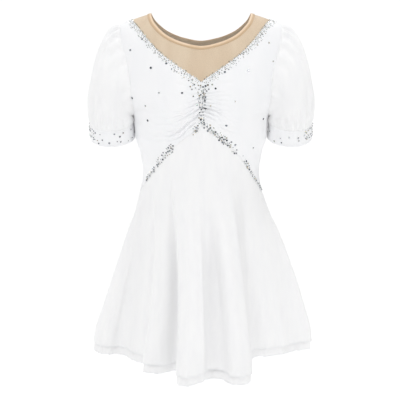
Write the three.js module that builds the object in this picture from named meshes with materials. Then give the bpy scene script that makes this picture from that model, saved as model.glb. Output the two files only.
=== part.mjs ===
// A figure skating dress as it is worn: yoke, ruched bodice, puff sleeves and a skirt of two layers.
// Millimetres, +Z up. The front faces -Y and +X is the wearer's left. The origin lies midway between
// the two points where the neck edge crosses the shoulders.
import * as THREE from 'three';

// ---------------------------------------------------------------- driving sizes

// Walls stand in for cloth, which is thinner.
const wall = { net: 1.0, stretch: 1.4, chiffon: 1.0, cuff: 1.8, binding: 1.8 };
// Every piece stops this far short of its seam line, so two pieces at a seam are 0.36 mm apart.
const seamInset = 0.18;
// The skirt's top edge cuts the corners of the bodice's facets, so it lies this much lower.
const waistGap = 0.25;
const bindingWidth = 7.5;
const bindingProud = 0.4;

const chestLevel = -150;
const shoulder = { top: 14, fall: 0.0013, roundness: 1.9, closing: 0.54 };
const bust = { out: 13, apart: 62, level: -188, wide: 38, tall: 42 };
const cuff = { centre: [195, -3, -234], half: 46.5, deep: 48, height: 36, tilt: 15 };
const skirt = { hang: -345, hem: -757, outerShorter: 19, underGap: 0.35, underHemGap: 2.6 };

// Horizontal sections of the body of the dress: half its width, and its depth to the front and back.
const torsoSections = [
  { level: -430, half: 149, front: 101, back: 98 },
  { level: -400, half: 139, front: 93, back: 90 },
  { level: -370, half: 130, front: 87, back: 80 },
  { level: -340, half: 126.5, front: 83, back: 72 },
  { level: -300, half: 132, front: 86, back: 72 },
  { level: -262, half: 142.5, front: 90, back: 75 },
  { level: -225, half: 145, front: 93, back: 79 },
  { level: -205, half: 152, front: 95, back: 83 },
  { level: -180, half: 168, front: 96.5, back: 88 },
  { level: -150, half: 183, front: 97, back: 92 },
  { level: -70, half: 188, front: 97, back: 92 },
  { level: 0, half: 190, front: 97, back: 92 },
];

// Edges and seams on the body. An angle runs from the middle of the front, or of the back, to the
// side; a level is a height up to the chest, and from there to 0 it runs up onto the shoulder.
const neckEdge = [
  { angle: 33.9, level: 0 },
  { angle: 33.5, level: -25.5 },
  { angle: 31.3, level: -51 },
  { angle: 25, level: -75.5 },
  { angle: 17.6, level: -89 },
  { angle: 9, level: -97.2 },
  { angle: 0, level: -101 },
];
const frontYokeEdge = [
  { angle: 51.2, level: 0 },
  { angle: 49, level: -25 },
  { angle: 41.3, level: -65 },
  { angle: 33, level: -92.8 },
  { angle: 25, level: -110 },
  { angle: 14, level: -125.8 },
  { angle: 0, level: -142.5 },
];
const backYokeEdge = [
  { angle: 51.2, level: 0 },
  { angle: 49, level: -34 },
  { angle: 43, level: -78 },
  { angle: 34, level: -110 },
  { angle: 20, level: -135.5 },
  { angle: 0, level: -148 },
];
const armhole = [
  { angle: 64.9, level: 0 },
  { angle: 64.6, level: -46 },
  { angle: 62.2, level: -83 },
  { angle: 56.6, level: -118 },
  { angle: 54, level: -147 },
  { angle: 61, level: -182 },
  { angle: 74, level: -211 },
  { angle: 90, level: -222 },
];
// The seam between bodice and skirt runs from a point at the front down both sides to the back.
const apexAngle = 2;
const waistSeam = {
  right: [
    { angle: -apexAngle, level: -222.5 },
    { angle: 20, level: -265 },
    { angle: 38, level: -301 },
    { angle: 56, level: -335 },
    { angle: 70, level: -359 },
    { angle: 90, level: -385 },
    { angle: 112, level: -398 },
    { angle: 140, level: -405 },
    { angle: 180, level: -408 },
  ],
  left: [
    { angle: apexAngle, level: -222.5 },
    { angle: 28, level: -276.5 },
    { angle: 50, level: -319 },
    { angle: 70, level: -360 },
    { angle: 90, level: -385 },
    { angle: 112, level: -398 },
    { angle: 140, level: -405 },
    { angle: 180, level: -408 },
  ],
};

// The skirt's hem, a row for each turn of the cloth: where it leaves the seam, where it hangs, and
// how far its line bows towards the wearer's left on the way.
const skirtFolds = [
  { angle: -90, x: -252, y: 8, bow: 0 },
  { angle: -81, x: -234, y: -22, bow: 0 },
  { angle: -73, x: -210, y: -30, bow: 4 },
  { angle: -67, x: -184, y: -28, bow: 8 },
  { angle: -62, x: -154, y: -60, bow: 12 },
  { angle: -58, x: -130, y: -86, bow: 16 },
  { angle: -54, x: -125, y: -128, bow: 18 },
  { angle: -43, x: -92, y: -141, bow: 12 },
  { angle: -33, x: -56, y: -134, bow: 10 },
  { angle: -29, x: -50, y: -196, bow: 12 },
  { angle: -18, x: -30, y: -215, bow: 6 },
  { angle: -7, x: -2, y: -190, bow: 0 },
  { angle: apexAngle, x: 22, y: -182, bow: 0 },
  { angle: 16, x: 66, y: -205, bow: 0 },
  { angle: 28, x: 101, y: -192, bow: 0 },
  { angle: 36, x: 104, y: -110, bow: 0 },
  { angle: 45, x: 118, y: -48, bow: -4 },
  { angle: 56, x: 152, y: -40, bow: -6 },
  { angle: 67, x: 188, y: -26, bow: -4 },
  { angle: 78, x: 218, y: -4, bow: 0 },
  { angle: 90, x: 252, y: 8, bow: 0 },
  { angle: 101, x: 240, y: 48, bow: 0 },
  { angle: 111, x: 214, y: 60, bow: 0 },
  { angle: 121, x: 203, y: 106, bow: 0 },
  { angle: 131, x: 168, y: 112, bow: 0 },
  { angle: 142, x: 146, y: 160, bow: 0 },
  { angle: 154, x: 98, y: 158, bow: 0 },
  { angle: 163, x: 72, y: 190, bow: 0 },
  { angle: 180, x: 6, y: 172, bow: 0 },
  { angle: 190, x: -34, y: 202, bow: 0 },
  { angle: 202, x: -70, y: 172, bow: 0 },
  { angle: 213, x: -112, y: 178, bow: 0 },
  { angle: 226, x: -146, y: 128, bow: 0 },
  { angle: 238, x: -190, y: 124, bow: 0 },
  { angle: 249, x: -206, y: 78, bow: 0 },
  { angle: 260, x: -238, y: 56, bow: 0 },
  { angle: 270, x: -252, y: 8, bow: 0 },
];
// How far out the cloth has come at a share of its way down from the waist to the hem.
const skirtFlare = [
  { down: 0, out: 0 },
  { down: 0.14, out: 0.158 },
  { down: 0.224, out: 0.289 },
  { down: 0.415, out: 0.526 },
  { down: 0.574, out: 0.7 },
  { down: 0.714, out: 0.833 },
  { down: 0.882, out: 0.974 },
  { down: 1, out: 1 },
];

// How the sleeve leaves the armhole, from its top (0) past the front or back (0.5) to the underarm
// (1): its lean away from the body, its reach there, and how straight it rises out of the cuff.
const sleeveRun = [
  { round: 0, lean: 25, reach: 45, rise: 90, spread: 5 },
  { round: 0.3, lean: 40, reach: 50, rise: 84, spread: 10 },
  { round: 0.55, lean: 55, reach: 44, rise: 62, spread: 12 },
  { round: 0.8, lean: 65, reach: 24, rise: 28, spread: 8 },
  { round: 1, lean: 70, reach: 12, rise: 10, spread: 3 },
];

// Facets of the pieces, counted along their seams.
const steps = { yoke: 8, middle: 7, armhole: 10, side: 5, across: 8, yokeDown: 4, sleeve: 7, cuff: 2 };
const skirtRows = 7;
const stepsPerFold = 2;

// ---------------------------------------------------------------- curves and tables

const degrees = Math.PI / 180;
// One degree round the body is about this long, which spaces the spots of an edge evenly.
const mmPerDegree = 2.6;

// Smooth value of one column of a table, with no overshoot between its rows.
function readTable(rows, key, column, at) {
  const last = rows.length - 1;
  const spot = Math.min(Math.max(at, rows[0][key]), rows[last][key]);
  let i = 0;
  while (i < last - 1 && rows[i + 1][key] < spot) i += 1;
  const rise = (k) => (rows[k + 1][column] - rows[k][column]) / (rows[k + 1][key] - rows[k][key]);
  const slope = (k) => {
    if (k === 0) return rise(0);
    if (k === last) return rise(last - 1);
    const product = rise(k - 1) * rise(k);
    return product <= 0 ? 0 : (2 * product) / (rise(k - 1) + rise(k));
  };
  const span = rows[i + 1][key] - rows[i][key];
  const t = (spot - rows[i][key]) / span;
  return (
    (2 * t ** 3 - 3 * t ** 2 + 1) * rows[i][column] +
    (t ** 3 - 2 * t ** 2 + t) * slope(i) * span +
    (3 * t ** 2 - 2 * t ** 3) * rows[i + 1][column] +
    (t ** 3 - t ** 2) * slope(i + 1) * span
  );
}

// Evenly spaced spots on a smooth edge of the body.
function edgeSpots(rows, count) {
  const knots = rows.map((row) => new THREE.Vector3(row.angle * mmPerDegree, row.level, 0));
  const curve = new THREE.CatmullRomCurve3(knots, false, 'centripetal');
  curve.arcLengthDivisions = 400;
  return curve.getSpacedPoints(count).map((p) => ({ angle: p.x / mmPerDegree, level: p.y }));
}

const mix = (a, b, t) => a + (b - a) * t;
const mixSpots = (a, b, t) => ({ angle: mix(a.angle, b.angle, t), level: mix(a.level, b.level, t) });

// ---------------------------------------------------------------- body of the dress

const shoulderHeight = (x) => shoulder.top - shoulder.fall * x * x;

function torsoPoint({ angle, level }) {
  const half = readTable(torsoSections, 'level', 'half', level);
  const turn = angle * degrees;
  const x = half * Math.sin(turn);
  const facing = Math.cos(turn);
  const depth = readTable(torsoSections, 'level', facing > 0 ? 'front' : 'back', level);
  let z = level;
  let closing = 1;
  if (level > chestLevel) {
    const up = 1 - Math.max(level / chestLevel, 0) ** (1 / shoulder.closing);
    z = mix(chestLevel, shoulderHeight(x), up);
    closing = (1 - up ** shoulder.roundness) ** shoulder.closing;
  }
  let y = -depth * facing * closing;
  if (facing > 0) {
    const mounds = [-1, 1].map((side) => {
      const across = (x - side * bust.apart) / bust.wide;
      const along = (z - bust.level) / bust.tall;
      return Math.exp(-(across ** 2 + along ** 2) / 2);
    });
    y -= bust.out * (mounds[0] + mounds[1]) * Math.min(1, facing * 3) * Math.sqrt(closing);
  }
  return new THREE.Vector3(x, y, z);
}

// Direction out of the cloth. On the shoulder's ridge the front and the back share one.
const ridgeLevel = -0.5;

function torsoNormal({ angle, level }) {
  if (level > ridgeLevel) {
    const x = torsoPoint({ angle, level: 0 }).x;
    return new THREE.Vector3(2 * shoulder.fall * x, 0, 1).normalize();
  }
  const step = 0.4;
  const round = torsoPoint({ angle: angle + step, level }).sub(torsoPoint({ angle: angle - step, level }));
  const upper = Math.min(level + step, 0);
  const rise = torsoPoint({ angle, level: upper }).sub(torsoPoint({ angle, level: level - step }));
  return round.cross(rise).normalize();
}

// Angles of the whole body: 0 is the middle of the front, 90 the wearer's left side, 180 the back.
function waistLevel(angle) {
  const turn = angle > 180 ? angle - 360 : angle;
  const rows = turn < apexAngle ? waistSeam.right : waistSeam.left;
  return readTable(rows, 'angle', 'level', turn < apexAngle ? -turn : turn);
}

// The seam's line as the bodice's facets draw it.
function waistPoint(angle) {
  const turn = angle > 180 ? angle - 360 : angle;
  const quarters = [[-180, -90], [-90, apexAngle], [apexAngle, 90], [90, 180]];
  const [from, to] = quarters.find(([low, high]) => turn >= low && turn <= high);
  const share = ((turn - from) / (to - from)) * steps.across;
  const step = Math.min(Math.floor(share), steps.across - 1);
  const [start, end] = [step, step + 1].map((k) => {
    const knot = mix(from, to, k / steps.across);
    return torsoPoint({ angle: knot, level: waistLevel(knot) });
  });
  return start.lerp(end, share - step);
}

// ---------------------------------------------------------------- sheets and walls

// A sheet is a grid of points, each with the direction out of the cloth, and its triangles.
function gridSheet(columns, rows, at) {
  const sheet = { points: [], normals: [], faces: [] };
  for (let j = 0; j <= rows; j += 1) {
    for (let i = 0; i <= columns; i += 1) {
      const { point, normal } = at(i, j);
      sheet.points.push(point);
      sheet.normals.push(normal ?? new THREE.Vector3());
    }
  }
  const index = (i, j) => j * (columns + 1) + i;
  for (let j = 0; j < rows; j += 1) {
    for (let i = 0; i < columns; i += 1) {
      const [a, b, c, d] = [index(i, j), index(i + 1, j), index(i + 1, j + 1), index(i, j + 1)];
      sheet.faces.push([a, d, c], [a, c, b]);
    }
  }
  return sheet;
}

// Joins the points of one or more sheets that lie at the same place.
function weld(...sheets) {
  const joined = { points: [], normals: [], faces: [] };
  const known = new Map();
  for (const sheet of sheets) {
    const places = sheet.points.map((point, k) => {
      const key = point.toArray().map((v) => Math.round(v * 1000)).join();
      if (!known.has(key)) {
        known.set(key, joined.points.length);
        joined.points.push(point.clone());
        joined.normals.push(sheet.normals[k].clone());
      }
      return known.get(key);
    });
    for (const face of sheet.faces) {
      const [a, b, c] = face.map((k) => places[k]);
      if (a !== b && b !== c && c !== a) joined.faces.push([a, b, c]);
    }
  }
  return joined;
}

const flip = (sheet) => ({ ...sheet, faces: sheet.faces.map(([a, b, c]) => [a, c, b]) });

// Gives each point the mean direction of the triangles round it.
function faceOut(sheet) {
  const normals = sheet.points.map(() => new THREE.Vector3());
  for (const [a, b, c] of sheet.faces) {
    const along = sheet.points[b].clone().sub(sheet.points[a]);
    const across = sheet.points[c].clone().sub(sheet.points[a]);
    const out = along.cross(across);
    for (const k of [a, b, c]) normals[k].add(out);
  }
  return { ...sheet, normals: normals.map((n) => n.normalize()) };
}

function rimEdges(faces) {
  const seen = new Set(faces.flatMap(([a, b, c]) => [`${a}-${b}`, `${b}-${c}`, `${c}-${a}`]));
  const edges = faces.flatMap(([a, b, c]) => [[a, b], [b, c], [c, a]]);
  return edges.filter(([a, b]) => !seen.has(`${b}-${a}`));
}

// Draws the rim of a sheet in, so that it stays clear of its neighbours at the seams.
function insetRim(sheet) {
  const inward = new Map();
  for (const [a, b] of rimEdges(sheet.faces)) {
    const along = sheet.points[b].clone().sub(sheet.points[a]);
    for (const k of [a, b]) {
      const inside = sheet.normals[k].clone().cross(along).normalize();
      inward.set(k, [...(inward.get(k) ?? []), inside]);
    }
  }
  const points = sheet.points.map((point, k) => {
    if (!inward.has(k)) return point;
    const [first, second] = inward.get(k);
    const way = first.clone().add(second).normalize();
    const reach = seamInset / Math.max(way.dot(first), 0.4);
    return point.clone().addScaledVector(way, reach);
  });
  return { ...sheet, points };
}

// Turns a sheet into a closed wall whose outer skin lies `lift` outside it.
function wallOf(sheet, thickness, lift = 0) {
  const count = sheet.points.length;
  const skin = (height) => sheet.points.map((p, k) => p.clone().addScaledVector(sheet.normals[k], height));
  const points = [...skin(lift), ...skin(lift - thickness)];
  const faces = [...sheet.faces];
  for (const [a, b, c] of sheet.faces) faces.push([a + count, c + count, b + count]);
  for (const [a, b] of rimEdges(sheet.faces)) faces.push([b, a, a + count], [b, a + count, b + count]);
  const geometry = new THREE.BufferGeometry();
  geometry.setAttribute('position', new THREE.Float32BufferAttribute(points.flatMap((p) => p.toArray()), 3));
  geometry.setIndex(faces.flat());
  geometry.computeVertexNormals();
  return geometry;
}

// ---------------------------------------------------------------- cloths

const cloth = {
  net: new THREE.MeshStandardMaterial({ color: '#dcc2a4', roughness: 0.6, metalness: 0 }),
  binding: new THREE.MeshStandardMaterial({ color: '#e6c6a2', roughness: 0.55, metalness: 0 }),
  stretch: new THREE.MeshStandardMaterial({ color: '#f6f7f9', roughness: 0.45, metalness: 0 }),
  chiffon: new THREE.MeshStandardMaterial({ color: '#f8f9fb', roughness: 0.6, metalness: 0 }),
};

const dress = new THREE.Group();

function sew(name, sheet, thickness, material, lift = 0) {
  const piece = new THREE.Mesh(wallOf(insetRim(sheet), thickness, lift), material);
  piece.name = name;
  dress.add(piece);
}

// Turns a spot given from the middle of the front or back towards a side into one of the whole body.
function place(spot, side, back) {
  const angle = back ? 180 - side * spot.angle : side * spot.angle;
  return { angle, level: spot.level };
}

function bodySheet(columns, rows, spotAt) {
  return gridSheet(columns, rows, (i, j) => {
    const spot = spotAt(i, j);
    return { point: torsoPoint(spot), normal: torsoNormal(spot) };
  });
}

// ---------------------------------------------------------------- yoke and neck binding

// Both run between the neck edge and the yoke's lower edge; the binding takes the top strip.
function yokeSheets(lowerEdge, back) {
  const half = (rows) => edgeSpots(rows, steps.yoke);
  const wholeEdge = (rows) => [
    ...half(rows).map((spot) => place(spot, back ? 1 : -1, back)),
    ...half(rows).reverse().slice(1).map((spot) => place(spot, back ? -1 : 1, back)),
  ];
  const top = wholeEdge(neckEdge);
  const bottom = wholeEdge(lowerEdge);
  const columns = 2 * steps.yoke;
  const share = top.map((spot, i) => bindingWidth / torsoPoint(spot).distanceTo(torsoPoint(bottom[i])));
  const spotAt = (from, to) => (i, t) => mixSpots(top[i], bottom[i], mix(from(i), to(i), t));
  const strip = spotAt(() => 0, (i) => share[i]);
  const field = spotAt((i) => share[i], () => 1);
  return {
    binding: bodySheet(columns, 1, (i, j) => strip(i, j)),
    yoke: bodySheet(columns, steps.yokeDown, (i, j) => field(i, j / steps.yokeDown)),
  };
}

const frontYoke = yokeSheets(frontYokeEdge, false);
const backYoke = yokeSheets(backYokeEdge, true);
sew('front_yoke', frontYoke.yoke, wall.net, cloth.net);
sew('back_yoke', backYoke.yoke, wall.net, cloth.net);
sew('neck_binding', weld(frontYoke.binding, backYoke.binding), wall.binding, cloth.binding, bindingProud);

// ---------------------------------------------------------------- bodice

// One half of the front or back, ruled from its inner edge, down the yoke and the middle, to its
// outer edge, down the armhole and the side.
function bodiceHalf(yokeEdge, middleAngle, side, back) {
  const yokeSpots = edgeSpots(yokeEdge, steps.yoke);
  const low = yokeSpots[steps.yoke];
  const middle = { angle: middleAngle * side, level: waistLevel(back ? 180 : middleAngle) };
  const inner = [...yokeSpots];
  for (let k = 1; k <= steps.middle; k += 1) inner.push(mixSpots(low, middle, k / steps.middle));
  const outer = edgeSpots(armhole, steps.armhole);
  const underarm = outer[steps.armhole];
  const sideFoot = { angle: 90, level: waistLevel(90) };
  for (let k = 1; k <= steps.side; k += 1) outer.push(mixSpots(underarm, sideFoot, k / steps.side));
  const rows = steps.yoke + steps.middle;
  // The lower rows bend from a straight line towards the seam's own.
  const seamBend = (across) => {
    const foot = place(mixSpots(middle, sideFoot, across), side, back);
    return waistLevel(foot.angle) - foot.level;
  };
  const sheet = bodySheet(steps.across, rows, (i, j) => {
    const across = i / steps.across;
    const ruled = place(mixSpots(inner[j], outer[j], across), side, back);
    return { angle: ruled.angle, level: ruled.level + seamBend(across) * (j / rows) ** 3 };
  });
  const turned = (side > 0) === back;
  return turned ? flip(sheet) : sheet;
}

sew('bodice_front_right', bodiceHalf(frontYokeEdge, apexAngle, -1, false), wall.stretch, cloth.stretch);
sew('bodice_front_left', bodiceHalf(frontYokeEdge, apexAngle, 1, false), wall.stretch, cloth.stretch);
const backHalves = [-1, 1].map((side) => bodiceHalf(backYokeEdge, 0, side, true));
sew('bodice_back', weld(...backHalves), wall.stretch, cloth.stretch);

// ---------------------------------------------------------------- sleeves and cuffs

// The armhole's spots, from the shoulder down the front to the underarm and up the back.
function armholeLoop(side) {
  const half = edgeSpots(armhole, steps.armhole);
  const front = half.map((spot) => place(spot, side, false));
  const back = half.map((spot) => place(spot, side, true)).reverse();
  return [...front, ...back.slice(1)];
}

function cuffPoint(side, round, down) {
  const turn = 2 * Math.PI * round;
  const tilt = cuff.tilt * degrees;
  const forward = cuff.deep * Math.sin(turn);
  return new THREE.Vector3(
    side * (cuff.centre[0] + cuff.half * Math.cos(turn)),
    cuff.centre[1] - forward * Math.cos(tilt) + down * Math.sin(tilt),
    cuff.centre[2] - forward * Math.sin(tilt) - down * Math.cos(tilt),
  );
}

// Direction out of the armhole at a spot of its loop: away from the bodice, leaning off the body.
function sleeveStart(loop, k, side, lean) {
  const count = loop.length - 1;
  const before = torsoPoint(loop[(k - 1 + count) % count]);
  const after = torsoPoint(loop[(k + 1) % count]);
  const normal = torsoNormal(loop[k % count]);
  const along = after.sub(before).normalize();
  const away = along.cross(normal).multiplyScalar(-side).normalize();
  return away.multiplyScalar(Math.cos(lean * degrees)).addScaledVector(normal, Math.sin(lean * degrees));
}

function sleeveSheet(side) {
  const loop = armholeLoop(side);
  const columns = loop.length - 1;
  const lines = loop.map((spot, k) => {
    const round = k / columns;
    const towardsUnderarm = 1 - Math.abs(2 * round - 1);
    const run = (column) => readTable(sleeveRun, 'round', column, towardsUnderarm);
    const start = torsoPoint(loop[k % columns]);
    const end = cuffPoint(side, round, 0);
    const tilt = cuff.tilt * degrees;
    const spread = run('spread') * degrees;
    const centre = new THREE.Vector3(side * cuff.centre[0], cuff.centre[1], cuff.centre[2]);
    const outward = end.clone().sub(centre).normalize();
    const up = new THREE.Vector3(0, -Math.sin(tilt), Math.cos(tilt)).multiplyScalar(Math.cos(spread));
    up.addScaledVector(outward, Math.sin(spread));
    const first = start.clone().addScaledVector(sleeveStart(loop, k, side, run('lean')), run('reach'));
    const second = end.clone().addScaledVector(up, run('rise'));
    return new THREE.CubicBezierCurve3(start, first, second, end);
  });
  const sheet = gridSheet(columns, steps.sleeve, (i, j) => ({ point: lines[i].getPoint(j / steps.sleeve) }));
  return side > 0 ? flip(sheet) : sheet;
}

function cuffSheet(side) {
  const columns = 2 * steps.armhole;
  const sheet = gridSheet(columns, steps.cuff, (i, j) => {
    const round = (i % columns) / columns;
    return { point: cuffPoint(side, round, (cuff.height * j) / steps.cuff) };
  });
  return side > 0 ? flip(sheet) : sheet;
}

for (const [side, hand] of [[-1, 'right'], [1, 'left']]) {
  sew(`sleeve_${hand}`, faceOut(weld(sleeveSheet(side))), wall.chiffon, cloth.chiffon);
  sew(`cuff_${hand}`, faceOut(weld(cuffSheet(side))), wall.cuff, cloth.stretch);
}

// ---------------------------------------------------------------- skirt

// The turns of the hem as one smooth closed line, with the angle at which each leaves the waist.
const hemLine = new THREE.CatmullRomCurve3(
  skirtFolds.slice(0, -1).map((fold) => new THREE.Vector3(fold.x, fold.y, 0)),
  true,
  'centripetal',
);
const foldCount = skirtFolds.length - 1;
const skirtColumns = foldCount * stepsPerFold;
const foldRows = skirtFolds.map((fold, order) => ({ ...fold, order }));

function skirtPoint(column, down) {
  const order = column / stepsPerFold;
  const angle = readTable(foldRows, 'order', 'angle', order);
  const bow = readTable(foldRows, 'order', 'bow', order);
  if (down === 0) return waistPoint(angle).setZ(waistPoint(angle).z - waistGap);
  const top = waistLevel(angle);
  const level = mix(top, skirt.hem + skirt.outerShorter, down);
  const leaves = Math.min(skirt.hang, top);
  if (level >= leaves) return torsoPoint({ angle, level });
  const share = (leaves - level) / (leaves - skirt.hem);
  const out = readTable(skirtFlare, 'down', 'out', share);
  const start = torsoPoint({ angle, level: leaves });
  const end = hemLine.getPoint((order / foldCount) % 1);
  const x = mix(start.x, end.x, out) + bow * Math.sin(Math.PI * share);
  return new THREE.Vector3(x, mix(start.y, end.y, out), level);
}

// The whole ring, from the wearer's right side round the front, with one more row for the longer layer.
const outerDrop = (column) => {
  const angle = readTable(foldRows, 'order', 'angle', column / stepsPerFold);
  return waistLevel(angle) - skirt.hem - skirt.outerShorter;
};
const ring = faceOut(weld(gridSheet(skirtColumns, skirtRows + 1, (i, j) => {
  const column = i % skirtColumns;
  const down = j <= skirtRows ? j / skirtRows : 1 + skirt.outerShorter / outerDrop(column);
  return { point: skirtPoint(column, down) };
})));
for (let column = 0; column < skirtColumns; column += 1) {
  const angle = readTable(foldRows, 'order', 'angle', column / stepsPerFold);
  ring.normals[column] = torsoNormal({ angle, level: waistLevel(angle) });
}

// A layer of the skirt between two columns of the ring, set inside it by an amount that grows.
function skirtPanel(first, last, rows, inside) {
  return gridSheet(last - first, rows, (i, j) => {
    const k = j * skirtColumns + ((first + i) % skirtColumns);
    const normal = ring.normals[k].clone();
    return { point: ring.points[k].clone().addScaledVector(normal, -inside(j / rows)), normal };
  });
}

const leftSide = skirtFolds.findIndex((fold) => fold.angle === 90) * stepsPerFold;
const layers = [
  { name: 'outer', rows: skirtRows, inside: () => 0 },
  {
    name: 'under',
    rows: skirtRows + 1,
    inside: (down) => wall.chiffon + skirt.underGap + skirt.underHemGap * down,
  },
];
for (const { name, rows, inside } of layers) {
  sew(`skirt_${name}_front`, skirtPanel(0, leftSide, rows, inside), wall.chiffon, cloth.chiffon);
  sew(`skirt_${name}_back`, skirtPanel(leftSide, skirtColumns, rows, inside), wall.chiffon, cloth.chiffon);
}

export default dress;
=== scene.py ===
import math

import bmesh
import bpy
import numpy as np
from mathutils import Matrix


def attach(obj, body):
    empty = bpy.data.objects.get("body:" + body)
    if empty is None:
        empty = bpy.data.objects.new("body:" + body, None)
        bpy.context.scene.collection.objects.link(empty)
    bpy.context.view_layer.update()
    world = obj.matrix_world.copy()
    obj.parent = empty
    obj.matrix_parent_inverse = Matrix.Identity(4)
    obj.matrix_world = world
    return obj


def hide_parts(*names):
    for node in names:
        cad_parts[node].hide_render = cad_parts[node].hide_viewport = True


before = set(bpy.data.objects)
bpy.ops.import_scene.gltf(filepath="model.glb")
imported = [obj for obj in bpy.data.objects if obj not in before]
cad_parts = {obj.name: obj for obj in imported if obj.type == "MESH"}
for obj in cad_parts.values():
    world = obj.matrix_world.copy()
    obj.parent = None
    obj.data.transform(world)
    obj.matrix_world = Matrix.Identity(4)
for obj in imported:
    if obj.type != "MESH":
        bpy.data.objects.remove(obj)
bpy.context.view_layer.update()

# A white figure skating dress in its worn shape: sheer yoke, gathered bodice, puff sleeves and a
# two-layer chiffon skirt. Shapes are worked out in millimetres and turned to metres in the mesh.
# Angles go round the body: 0 is the middle of the front, 90 the wearer's left side, 180 the back.

mm = 0.001

# Studio

studio = {
    "cameraPlace": (-0.00215, -2.4, 0.14),
    "cameraPitchDown": 12.84,  # degrees below the horizon
    "lens": 100.53,
    "sensor": 36.0,
    "cameraReach": 200,
    "floorLevel": -1.35,
    "floorRadius": 60.0,
    "floorColour": "#FCFCFC",
    "airColour": "#FFFFFF",
    "airLight": 0.45,  # how strongly the pale room lights the dress; it is seen as plain white
    # where each lamp's light comes from, its strength and how wide it is in degrees
    "lamps": {
        "keyLamp": ((0.80, -0.80, 0.40), 0.34, 12),
        "crossLamp": ((-0.30, -0.65, 1.10), 0.66, 12),
        "fillLamp": ((-0.20, -1.00, 0.05), 0.19, 60),
        "rightLamp": ((-1.00, -0.25, 0.30), 0.24, 50),
        "leftLamp": ((1.00, -0.25, 0.30), 0.14, 50),
        "topLamp": ((0.10, 0.30, 1.00), 1.15, 60),
        "backLamp": ((-0.90, 0.60, 0.40), 0.30, 12),
    },
}


def toLinear(hexColour):
    parts = [int(hexColour[i:i + 2], 16) / 255 for i in (1, 3, 5)]
    return tuple(p / 12.92 if p <= 0.04045 else ((p + 0.055) / 1.055) ** 2.4 for p in parts) + (1.0,)


def setInputs(tree, node, inputs):
    for socket, value in inputs.items():
        if isinstance(value, bpy.types.NodeSocket):
            tree.links.new(value, node.inputs[socket])
        else:
            node.inputs[socket].default_value = value


def addNode(tree, kind, inputs=None, **settings):
    node = tree.nodes.new(kind)
    for name, value in settings.items():
        setattr(node, name, value)
    setInputs(tree, node, inputs or {})
    return node


def linkObject(name, data):
    made = bpy.data.objects.new(name, data)
    bpy.context.scene.collection.objects.link(made)
    return made


def setUpStudio():
    scene = bpy.context.scene
    scene.view_settings.view_transform = "Standard"
    camera = linkObject("camera", bpy.data.cameras.new("camera"))
    camera.location = studio["cameraPlace"]
    camera.rotation_euler = (math.radians(90 - studio["cameraPitchDown"]), 0, 0)
    camera.data.lens, camera.data.sensor_width = studio["lens"], studio["sensor"]
    camera.data.clip_end = studio["cameraReach"]
    scene.camera = camera
    scene.world = bpy.data.worlds.new("studioAir")
    scene.world.use_nodes = True
    tree = scene.world.node_tree
    white = toLinear(studio["airColour"])
    soft, plain = (addNode(tree, "ShaderNodeBackground", {"Color": white, "Strength": strength})
                   for strength in (studio["airLight"], 1.0))
    path = addNode(tree, "ShaderNodeLightPath")
    air = addNode(tree, "ShaderNodeMixShader", {
        0: path.outputs["Is Camera Ray"], 1: soft.outputs[0], 2: plain.outputs[0]})
    setInputs(tree, tree.nodes["World Output"], {"Surface": air.outputs[0]})
    for name, (source, strength, width) in studio["lamps"].items():
        lamp = linkObject(name, bpy.data.lights.new(name, "SUN"))
        lamp.data.energy, lamp.data.angle = strength, math.radians(width)
        lamp.location = np.array(source) * 3
        x, y, z = np.array(source) / np.linalg.norm(source)
        lamp.rotation_euler = (math.acos(z), 0, math.atan2(x, -y))


def makeFloor(material):
    radius, level = studio["floorRadius"], studio["floorLevel"]
    turns = np.linspace(0, 2 * math.pi, 48, endpoint=False)
    mesh = bpy.data.meshes.new("studioFloor")
    rim = [(radius * math.cos(t), radius * math.sin(t), level) for t in turns]
    mesh.from_pydata(rim, [], [tuple(range(len(rim)))])
    mesh.materials.append(material)
    floor = linkObject("studioFloor", mesh)


# Materials

cloths = {
    # colours, how wide the uneven patches are (mm), roughness, the bump's strength and depth (m), and
    # the sheen's weight and roughness
    "net": {"light": "#EAD8BF", "deep": "#DDC6AA", "patch": 60, "rough": (0.55, 0.7), "bump": (0.35, 0.0002),
            "sheen": (0.15, 0.5), "hole": 1.5, "open": 0.74},
    "binding": {"light": "#F3DABD", "deep": "#E6C8A4", "patch": 35, "rough": (0.42, 0.55),
                # the lower colour is painted shade under the folded edge; it fades in between the two
                # distances down the tape (m) given after it
                "bump": (0.4, 0.00025), "sheen": (0.2, 0.5), "rib": 1.2, "lower": "#D2B592",
                "paintedShadeFrom": (0.0026, 0.0044)},
    "knit": {"light": "#FAFAFB", "deep": "#F5F6F8", "patch": 45, "rough": (0.4, 0.55), "bump": (0.3, 0.0002),
             "sheen": (0.25, 0.35), "wale": 1.1, "course": 0.88},
    "chiffon": {"light": "#FDFDFD", "deep": "#FBFBFC", "patch": 14, "rough": (0.58, 0.72),
                "bump": (0.32, 0.00014), "sheen": (0.2, 0.6), "thread": 0.9, "crepe": 2.2, "crepeShare": 4.0,
                "sheerest": 0.955, "densest": 0.97},
}


def newMaterial(name):
    material = bpy.data.materials.new(name)
    material.use_nodes = True
    tree = material.node_tree
    return material, tree, tree.nodes["Principled BSDF"]


def threadBands(tree, lie, pitch, turn, distortion=0.0):
    # soft ridges one pitch (mm) apart, turned by some degrees on the cloth
    mapping = addNode(tree, "ShaderNodeMapping", {
        "Vector": lie, "Rotation": (0, 0, math.radians(turn)), "Scale": (1000, 1000, 1000)})
    wave = addNode(tree, "ShaderNodeTexWave", {
        "Vector": mapping.outputs["Vector"], "Scale": math.pi / 10 / pitch, "Distortion": distortion,
        "Detail": 0.0}, wave_type="BANDS", bands_direction="X", wave_profile="SIN")
    return wave.outputs["Fac"]


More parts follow.
